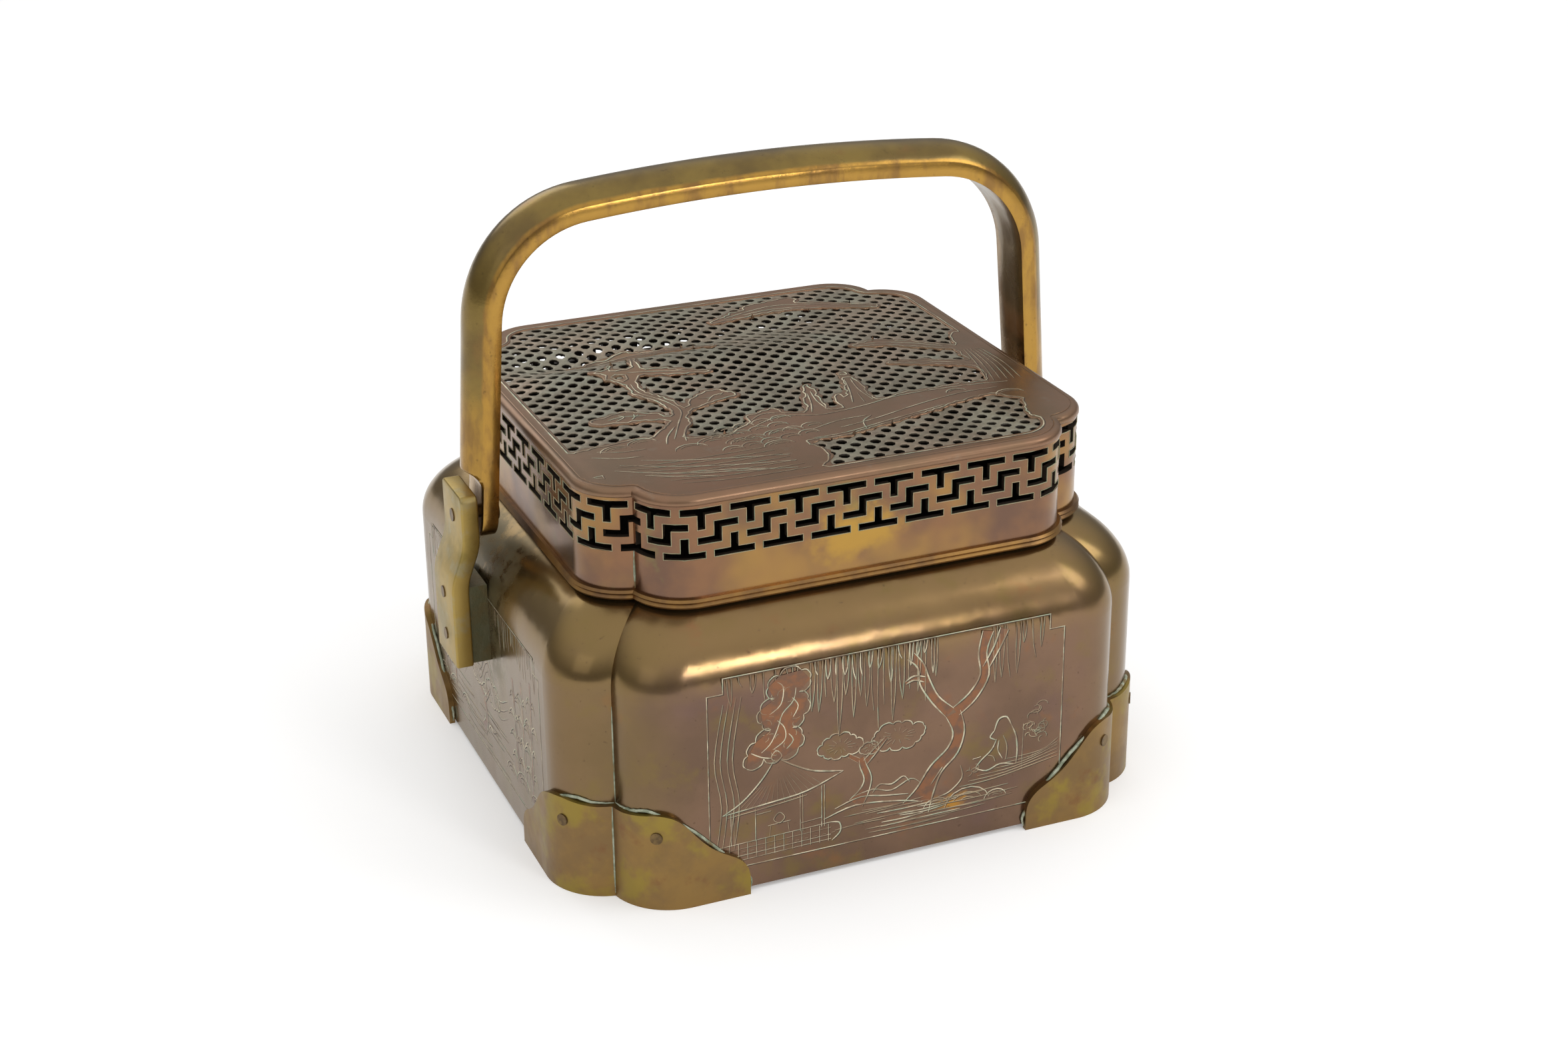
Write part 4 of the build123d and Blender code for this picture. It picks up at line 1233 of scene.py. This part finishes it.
def band_place(along, level, out):
    """A point on the band's outer face, by its way from the groove along one side."""
    radius, offset = LID_LOBE
    half = band_high.x
    near, far = half - radius, half - radius - offset
    groove = groove_place(half, LID_LOBE)
    sweep = math.atan2(groove - far, groove - near)
    bend = radius * sweep
    if along < bend:
        angle = -sweep + along / radius
        return Vector((near + (radius + out) * math.cos(angle), -far + (radius + out) * math.sin(angle), level))
    if along > bend + 2 * far:
        angle = (along - bend - 2 * far) / radius
        return Vector((near + (radius + out) * math.cos(angle), far + (radius + out) * math.sin(angle), level))
    return Vector((half + out, along - bend - far, level))


def build_fret_edges(settings):
    """The pale burr round every slot of the fret, and the soldered joint in each groove."""
    half = band_high.x
    radius, offset = LID_LOBE
    near, far = half - radius, half - radius - offset
    groove = groove_place(half, LID_LOBE)
    length = 2 * (radius * math.atan2(groove - far, groove - near) + far)
    unit = length / FRET_REPEATS / FRET_UNITS
    row = FRET_HEIGHT / FRET_ROWS
    top = band_high.z - FRET_MARGIN
    strokes = []
    for quarter in range(4):
        turn = Matrix.Rotation(math.pi / 2 * quarter, 3, "Z")
        for repeat in range(FRET_REPEATS):
            middle = (repeat + 0.5) * FRET_UNITS
            for points in FRET_BARS.values():
                corners = [((middle + u) * unit, top - v * row) for u, v in points]
                if not 0 < corners[0][0] < length - 1 or max(u for u, _ in corners) > length:
                    continue
                line = []
                for (u0, z0), (u1, z1) in zip(corners, corners[1:] + corners[:1]):
                    line += [(u0 + (u1 - u0) * t, z0 + (z1 - z0) * t) for t in (0, 0.5)]
                strokes.append(([tuple(turn @ band_place(u, z, 0.0)) for u, z in line], True, 1.0))
    lines = drawn_lines(strokes, 0.22, lambda x, y, z: Vector((x, y, z)), 1.0)
    finish_piece(lines, "fret_sawn_edges", "lid", sawn_edge(settings))
    seams = []
    for x, y in ((1, 1), (-1, 1), (-1, -1), (1, -1)):
        levels = [band_low.z + 2.3, band_low.z + 5, band_low.z + 8, band_high.z - FRET_MARGIN - FRET_HEIGHT]
        seams.append(([(x * (groove + 0.05), y * (groove + 0.05), z) for z in levels], False, 1.0))
    solder = drawn_lines(seams, 0.55, lambda x, y, z: Vector((x, y, z)), 1.0)
    finish_piece(solder, "band_seam_solder", "lid", soft_solder(settings))


def leg_face(level):
    """How far from the middle the back line of the bail's leg lies at a level."""
    bend_level = bail_high.z - BAIL_DOME - BAIL_CROWN_RISE - BAIL_BEND_RADIUS
    knee = bend_level + BAIL_BEND_RADIUS * math.sin(BAIL_LEAN)
    reach = BAIL_BEND_CENTRE + BAIL_BEND_RADIUS * math.cos(BAIL_LEAN)
    return reach + (knee - level) * math.tan(BAIL_LEAN)


def bail_section():
    """Half turns of the bail's cross-section: a flat inside, upright edges and a domed back."""
    half = BAIL_TOP_WIDTH / 2
    rise = BAIL_DOME + BAIL_EDGE_DROP
    radius = (half**2 + rise**2) / (2 * rise)
    back = []
    for step in range(13):
        across = -half * math.cos(math.pi * step / 12)
        back.append((across, math.sqrt(radius**2 - across**2) - radius + BAIL_DOME))
    return back + [(half, -BAIL_THICKNESS), (half / 3, -BAIL_THICKNESS), (-half / 3, -BAIL_THICKNESS),
                   (-half, -BAIL_THICKNESS)]


def build_bail(settings):
    """The handle: a bent bar with a domed back that is coved away behind the brackets."""
    line = bail_high.z - BAIL_DOME
    drop = (BAIL_BEND_CENTRE**2 - BAIL_CROWN_RISE**2) / (2 * BAIL_CROWN_RISE)
    bend_level = line - BAIL_CROWN_RISE - BAIL_BEND_RADIUS
    turn = math.atan2(drop, BAIL_BEND_CENTRE)
    bm = bmesh.new()
    verts = [bm.verts.new((0, across, line + up)) for across, up in bail_section()]
    start = bm.faces.new(verts)
    geom = [start, *start.edges, *start.verts]
    turns = [((0, 0, bend_level - drop), math.pi / 2 - turn, 10), ((BAIL_BEND_CENTRE, 0, bend_level), turn - BAIL_LEAN, 20)]
    for centre, angle, steps in turns:
        made = bmesh.ops.spin(bm, geom=geom, cent=centre, axis=(0, 1, 0), angle=angle, steps=steps, use_duplicate=False)
        geom = made["geom_last"]
    down = Vector((math.sin(BAIL_LEAN), 0, -math.cos(BAIL_LEAN)))
    knee = bend_level + BAIL_BEND_RADIUS * math.sin(BAIL_LEAN)
    foot = BAIL_FOOT_WIDTH / 2
    cove = bracket_high.z
    levels = [100, 90, 83] + [cove + BAIL_COVE * (1 - step / 8) + 0.4 for step in range(9)]
    levels += [PIVOT_LEVEL + 3, PIVOT_LEVEL] + [PIVOT_LEVEL - foot * math.sin(math.pi / 2 * s / 8) for s in range(1, 9)]
    for level in levels:
        last = [part for part in geom if isinstance(part, bmesh.types.BMFace)]
        made = bmesh.ops.extrude_face_region(bm, geom=last)["geom"]
        bmesh.ops.delete(bm, geom=last, context="FACES_ONLY")
        moved = [part for part in made if isinstance(part, bmesh.types.BMVert)]
        bmesh.ops.translate(bm, vec=down * (knee - level) / math.cos(BAIL_LEAN), verts=moved)
        knee = level
        geom = made
    bmesh.ops.delete(bm, geom=[start], context="FACES_ONLY")
    for vert in bm.verts:
        level = vert.co.z
        width = BAIL_FOOT_WIDTH + (BAIL_TOP_WIDTH - BAIL_FOOT_WIDTH) * (level - PIVOT_LEVEL) / (line - PIVOT_LEVEL)
        if level < PIVOT_LEVEL:
            fall = min((PIVOT_LEVEL - level) / (foot + 0.02), 1.0)
            width = BAIL_FOOT_WIDTH * math.sqrt(1 - fall**2)
        vert.co.y *= width / BAIL_TOP_WIDTH
        climb = min(max(level - cove, 0), BAIL_COVE)
        allowed = BAIL_COVE - math.sqrt(BAIL_COVE**2 - climb**2)
        if level < cove + BAIL_COVE:
            vert.co.x = min(vert.co.x, leg_face(level) + allowed)
    bmesh.ops.mirror(bm, geom=bm.verts[:] + bm.edges[:] + bm.faces[:], merge_dist=0.001, axis="X")
    bmesh.ops.remove_doubles(bm, verts=bm.verts, dist=0.002)
    bmesh.ops.recalc_face_normals(bm, faces=bm.faces)
    sharp = [edge for edge in bm.edges if len(edge.link_faces) == 2 and edge.calc_face_angle() > math.radians(60)]
    bmesh.ops.bevel(bm, geom=sharp, offset=0.45, offset_type="OFFSET", segments=2, profile=0.5, affect="EDGES",
                    material=-1, clamp_overlap=True)
    # The edge mask marks wear and a painted sheen on the side faces; the inside mask marks faces that get painted
    # shade.
    rub_and_sheen = bm.verts.layers.float.new("rub_and_sheen")
    inside = bm.verts.layers.float.new("inside")
    for vert in bm.verts:
        width = BAIL_FOOT_WIDTH + (BAIL_TOP_WIDTH - BAIL_FOOT_WIDTH) * (vert.co.z - PIVOT_LEVEL) / (line - PIVOT_LEVEL)
        share = abs(vert.co.y) * 2 / width
        vert[rub_and_sheen] = min(max((share - 0.8) / 0.18, 0), 1)
        vert[inside] = 0.0
    # Faces that look in under the arch are marked for painted shade.
    for face in bm.faces:
        middle = face.calc_center_median()
        toward = Vector((middle.x * 0.6, 0, middle.z - 90))
        if abs(face.normal.y) < 0.5 and face.normal.dot(toward) < 0:
            for vert in face.verts:
                vert[inside] = 1.0
    finish_piece(bm, "bail_strap", "handle", strap_brass(settings), ["bail"], crease=45)


def build_brackets(settings):
    """The two brackets: a bar that steps in to the bail, with a round crown and soft edges."""
    brass = bracket_brass(settings)
    low, high = bracket_low, bracket_high
    tab, face = low.x, high.x - BRACKET_SHEET
    inner = [(face, low.z), (face, BRACKET_JOG[0]), (tab, BRACKET_JOG[1]), (tab, high.z)]
    profile = inner + [(x + BRACKET_SHEET, z) for x, z in reversed(inner)]
    for side, sign in (("right", 1), ("left", -1)):
        bm = bmesh.new()
        verts = [bm.verts.new((sign * x, low.y, z)) for x, z in profile]
        strip = bm.faces.new(verts)
        made = bmesh.ops.extrude_face_region(bm, geom=[strip])["geom"]
        bmesh.ops.translate(bm, vec=(0, high.y - low.y, 0), verts=[p for p in made if isinstance(p, bmesh.types.BMVert)])
        bmesh.ops.recalc_face_normals(bm, faces=bm.faces)

        def along(edge, axis):
            run = edge.verts[1].co - edge.verts[0].co
            return abs(run[axis]) > 0.99 * run.length

        bends = [e for e in bm.edges if along(e, 1) and low.z + 1 < e.verts[0].co.z < high.z - 1]
        bmesh.ops.bevel(bm, geom=bends, offset=2.2, segments=5, profile=0.5, affect="EDGES", material=-1)
        crown = [e for e in bm.edges if along(e, 0) and e.verts[0].co.z > high.z - 0.01]
        bmesh.ops.bevel(bm, geom=crown, offset=BRACKET_CORNER, segments=9, profile=0.5, affect="EDGES", material=-1)
        sharp = [e for e in bm.edges if e.calc_face_angle() > math.radians(50)]
        bmesh.ops.bevel(bm, geom=sharp, offset=0.5, segments=3, profile=0.5, affect="EDGES", material=-1)
        finish_piece(bm, "bracket_bar_" + side, "pot", brass, ["bracket_" + side], crease=45)


def build_seams(settings):
    """Solder and verdigris along the upper edge of each foot and in the corner grooves."""
    chance = random.Random(23)
    solder = soft_solder(settings)
    width = settings.seam_width / MM
    half = pot_high.x
    top = foot_high.z
    groove = groove_place(half, POT_LOBE)
    paths = []
    for x_sign, y_sign in ((1, 1), (-1, 1), (-1, -1), (1, -1)):
        for swap in (False, True):
            end = foot_low.y if swap else foot_low.x
            edge = [(end, 0.6), (end, 3.9), (end + 7.0, top - 10.8), (end + 13.5, top - 4.1), (groove - 5, top)]
            edge += [(groove - 1.6, top - 0.5), (groove, top - 0.9)]
            line = []
            for along, level in smooth_line(edge, 6):
                out = face_level(along, half, POT_LOBE) + 0.35 + chance.uniform(-0.08, 0.08)
                x, y = (out, along) if swap else (along, out)
                line.append((x_sign * x, y_sign * y, level + 0.15 + chance.uniform(-0.12, 0.12)))
            paths.append((line, False, chance.uniform(0.85, 1.15)))
        foot_groove = groove_place(half + FOOT_SHEET, (POT_LOBE[0] + FOOT_SHEET, POT_LOBE[1]))
        for depth, start, finish, weight in ((foot_groove, 0.8, top - 1, 0.7), (groove, top - 1, 45, 0.55)):
            count = int((finish - start) / 2)
            levels = [start + (finish - start) * step / count for step in range(count + 1)]
            paths.append(([(x_sign * depth, y_sign * depth, z) for z in levels], False, weight))
    bm = drawn_lines(paths, width, lambda x, y, z: Vector((x, y, z)), 1.0, 2)
    finish_piece(bm, "foot_seam_solder", "pot", solder)


def chased_ground(outlines, place):
    """Flat closed shapes that lie a hair above the surface, each one a little over the last."""
    curve = bpy.data.curves.new("grounds", "CURVE")
    curve.dimensions = "2D"
    curve.fill_mode = "BOTH"
    bm = bmesh.new()
    out = 0.006
    for points in outlines:
        curve.splines.clear()
        spline = curve.splines.new("POLY")
        spline.points.add(len(points) - 1)
        for number, point in enumerate(points):
            spline.points[number].co = (point[0], point[1], 0, 1)
        spline.use_cyclic_u = True
        carrier = bpy.data.objects.new("grounds", curve)
        mesh = bpy.data.meshes.new_from_object(carrier)
        bpy.data.objects.remove(carrier)
        for vert in mesh.vertices:
            vert.co = place(vert.co.x, vert.co.y, out)
        bm.from_mesh(mesh)
        bpy.data.meshes.remove(mesh)
        out += 0.0025
    bpy.data.curves.remove(curve)
    bm.normal_update()
    return bm


def line_finishes(settings):
    """The finishes of an engraved line: its deep cuts, its fine cuts and the painted shadow of its far flank."""
    return graver_line(settings), graver_fine(settings), graver_shade(settings)


def cut_lines(strokes, settings, place, name, body, finishes):
    """Engraved lines, deep and fine, each with a painted shadow as a dark flank beside and below it."""
    width = settings.line_width / MM
    deep, fine, shade = finishes
    parts = (
        (name, [line for line in strokes if line[2] >= 0.85], deep),
        (name + "_fine", [line for line in strokes if line[2] < 0.85], fine),
    )
    for part, lines, finish in parts:
        finish_piece(drawn_lines(lines, width, place), part, body, finish)
    # A darker copy of every line, offset down and right and set lower: a painted shadow of the cut.
    dark = drawn_lines(strokes, width * 1.15, lambda x, y, z: place(x + 0.17, y - 0.17, z * 0.5))
    finish_piece(dark, name + "_shade", body, shade)


def build_engraving(settings):
    """The landscapes on the four walls of the pot, cut in fine pale lines over chased grounds."""
    chance = random.Random(7)
    red, finishes = chased_copper(settings), line_finishes(settings)
    walls = (("front", 0, lakeside), ("right", 1, bamboo_bank), ("back", 2, mountain_shore), ("left", 3, bamboo_bank))
    for name, quarter, drawing in walls:
        strokes, grounds = drawing(chance)
        place = on_wall(quarter)
        cut_lines(strokes, settings, place, "engraving_" + name, "pot", finishes)
        outward = place(0, 0, 1) - place(0, 0, 0)
        bm = chased_ground(grounds, place)
        bmesh.ops.reverse_faces(bm, faces=[face for face in bm.faces if face.normal.dot(outward) < 0])
        finish_piece(bm, "chasing_" + name, "pot", red)


def paint_frame(settings):
    """Gives every node of the frame that shows its own finish."""
    finishes = {
        "body_shell": engraved_copper(settings),
        "lid_fret_band": fret_copper(settings),
        "lid_rim_bead": rim_brass(settings),
        "neck_collar": inner_copper(settings),
        "bracket_pad": filler_metal(settings),
        "foot_rivets": rivet_brass(settings),
        "foot": foot_brass(settings),
    }
    alike = {
        "base_plate": "neck_collar",
        "bracket_rivets": "foot_rivets",
        "pivot_pin": "foot_rivets",
    }
    for name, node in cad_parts.items():
        if node.hide_render:
            continue
        keys = sorted([*finishes, *alike], key=len, reverse=True)
        found = next((key for key in keys if name.startswith(key)), None)
        if found is None:
            continue
        material = finishes[alike.get(found, found)]
        for place in node.material_slots:
            place.material = material


CAMERA_PLACE = (-203.18, -498.46, 286.60)
CAMERA_TURN = (66.535, 0.505, -22.886)
CAMERA_LENS = 57.146
CAMERA_SENSOR = 36.0


def build_stage():
    """A white floor, four soft lamps and the camera at the photograph's angle."""
    camera = bpy.data.objects.new("camera", bpy.data.cameras.new("camera"))
    camera.data.lens = CAMERA_LENS
    camera.data.sensor_width = CAMERA_SENSOR
    camera.location = Vector(CAMERA_PLACE) * MM
    camera.rotation_euler = [math.radians(angle) for angle in CAMERA_TURN]
    bpy.context.scene.collection.objects.link(camera)
    bpy.context.scene.camera = camera
    bpy.context.scene.view_settings.view_transform = "Standard"

    bm = bmesh.new()
    bmesh.ops.create_grid(bm, x_segments=1, y_segments=1, size=6)
    mesh = bpy.data.meshes.new("floor")
    bm.to_mesh(mesh)
    bm.free()
    floor = bpy.data.objects.new("floor", mesh)
    bpy.context.scene.collection.objects.link(floor)
    material, tree, shader = new_material("studio_paper_white")
    shader.inputs["Base Color"].default_value = linear("#f5f5f5")
    shader.inputs["Roughness"].default_value = 0.9
    shader.inputs["Specular IOR Level"].default_value = 0.1
    path = add(tree, "ShaderNodeLightPath")
    seen = math_of(tree, "MAXIMUM", path.outputs["Is Camera Ray"], path.outputs["Is Glossy Ray"])
    glow = add(tree, "ShaderNodeEmission", {"Color": (1, 1, 1, 1), "Strength": math_of(tree, "MULTIPLY", seen, 0.24)})
    both = add(tree, "ShaderNodeAddShader", {0: shader.outputs[0], 1: glow.outputs[0]})
    tree.links.new(both.outputs[0], tree.nodes["Material Output"].inputs["Surface"])
    mesh.materials.append(material)

    lamps = (
        ("key_lamp", (520, -330, 560), 300, 0.75),
        ("window_lamp", (190, -690, 330), 150, 0.8),
        ("fill_lamp", (-620, -420, 420), 420, 0.2),
        ("back_lamp", (-120, 640, 520), 420, 0.8),
    )
    for name, place, size, power in lamps:
        light = bpy.data.lights.new(name, "AREA")
        light.energy = power
        light.size = size * MM
        lamp = bpy.data.objects.new(name, light)
        lamp.location = Vector(place) * MM
        lamp.rotation_euler = (Vector((0, 0, 60)) - Vector(place)).to_track_quat("-Z", "Y").to_euler()
        bpy.context.scene.collection.objects.link(lamp)

    world = bpy.data.worlds.new("studio")
    bpy.context.scene.world = world
    world.use_nodes = True
    tree = world.node_tree
    background = tree.nodes["Background"]
    path = add(tree, "ShaderNodeLightPath")
    up = add(tree, "ShaderNodeSeparateXYZ", {0: add(tree, "ShaderNodeTexCoord").outputs["Generated"]}).outputs["Z"]
    high = mask(tree, up, 0.1, 0.85)
    surround = mix(tree, high, linear("#8f8c87"), linear("#ffffff"))
    colour = mix(tree, path.outputs["Is Camera Ray"], surround, (1, 1, 1, 1))
    tree.links.new(colour, background.inputs["Color"])
    background.inputs["Strength"].default_value = 1.0


class HANDWARMER_OT_stage(bpy.types.Operator):
    """Sets the floor, the lamps and the camera"""

    bl_idname = "hand_warmer.stage"
    bl_label = "Stage"

    def execute(self, context):
        build_stage()
        return {"FINISHED"}


class HANDWARMER_OT_lid_top(bpy.types.Operator):
    """Builds the pierced and engraved top of the lid"""

    bl_idname = "hand_warmer.lid_top"
    bl_label = "Lid Top"

    def execute(self, context):
        build_lid_top(context.scene.hand_warmer)
        return {"FINISHED"}


class HANDWARMER_OT_fret_edges(bpy.types.Operator):
    """Builds the pale sawn edges of the fret and the solder in its grooves"""

    bl_idname = "hand_warmer.fret_edges"
    bl_label = "Fret Edges"

    def execute(self, context):
        build_fret_edges(context.scene.hand_warmer)
        return {"FINISHED"}


class HANDWARMER_OT_bail(bpy.types.Operator):
    """Builds the handle strap"""

    bl_idname = "hand_warmer.bail"
    bl_label = "Bail"

    def execute(self, context):
        build_bail(context.scene.hand_warmer)
        return {"FINISHED"}


class HANDWARMER_OT_brackets(bpy.types.Operator):
    """Builds the brackets that carry the handle"""

    bl_idname = "hand_warmer.brackets"
    bl_label = "Brackets"

    def execute(self, context):
        build_brackets(context.scene.hand_warmer)
        return {"FINISHED"}


class HANDWARMER_OT_seams(bpy.types.Operator):
    """Builds the solder along the feet and in the grooves"""

    bl_idname = "hand_warmer.seams"
    bl_label = "Seams"

    def execute(self, context):
        build_seams(context.scene.hand_warmer)
        return {"FINISHED"}


class HANDWARMER_OT_engraving(bpy.types.Operator):
    """Builds the engraved landscapes on the walls"""

    bl_idname = "hand_warmer.engraving"
    bl_label = "Engraving"

    def execute(self, context):
        build_engraving(context.scene.hand_warmer)
        return {"FINISHED"}


class HANDWARMER_OT_finish(bpy.types.Operator):
    """Gives every piece of the frame its finish"""

    bl_idname = "hand_warmer.finish"
    bl_label = "Finish"

    def execute(self, context):
        paint_frame(context.scene.hand_warmer)
        return {"FINISHED"}


STEPS = (
    HANDWARMER_OT_stage,
    HANDWARMER_OT_lid_top,
    HANDWARMER_OT_fret_edges,
    HANDWARMER_OT_bail,
    HANDWARMER_OT_brackets,
    HANDWARMER_OT_seams,
    HANDWARMER_OT_engraving,
    HANDWARMER_OT_finish,
)


class HANDWARMER_PT_panel(bpy.types.Panel):
    """Lists the sizes, the colours and the steps of the hand warmer"""

    bl_label = "Hand Warmer"
    bl_idname = "HANDWARMER_PT_panel"
    bl_space_type = "VIEW_3D"
    bl_region_type = "UI"
    bl_category = "Hand Warmer"

    def draw(self, context):
        settings = context.scene.hand_warmer
        for name in settings.bl_rna.properties.keys():
            if name not in ("rna_type", "name"):
                self.layout.prop(settings, name)
        for step in STEPS:
            self.layout.operator(step.bl_idname)


CLASSES = (HandWarmerSettings, *STEPS, HANDWARMER_PT_panel)


def register():
    """Registers the settings, the operators and the panel."""
    for made in CLASSES:
        bpy.utils.register_class(made)
    bpy.types.Scene.hand_warmer = bpy.props.PointerProperty(type=HandWarmerSettings)


def unregister():
    """Takes the settings, the operators and the panel away again."""
    del bpy.types.Scene.hand_warmer
    for made in reversed(CLASSES):
        bpy.utils.unregister_class(made)


def main():
    """Builds the whole hand warmer."""
    register()
    for step in STEPS:
        group, name = step.bl_idname.split(".")
        getattr(getattr(bpy.ops, group), name)()


if __name__ == "__main__":
    main()
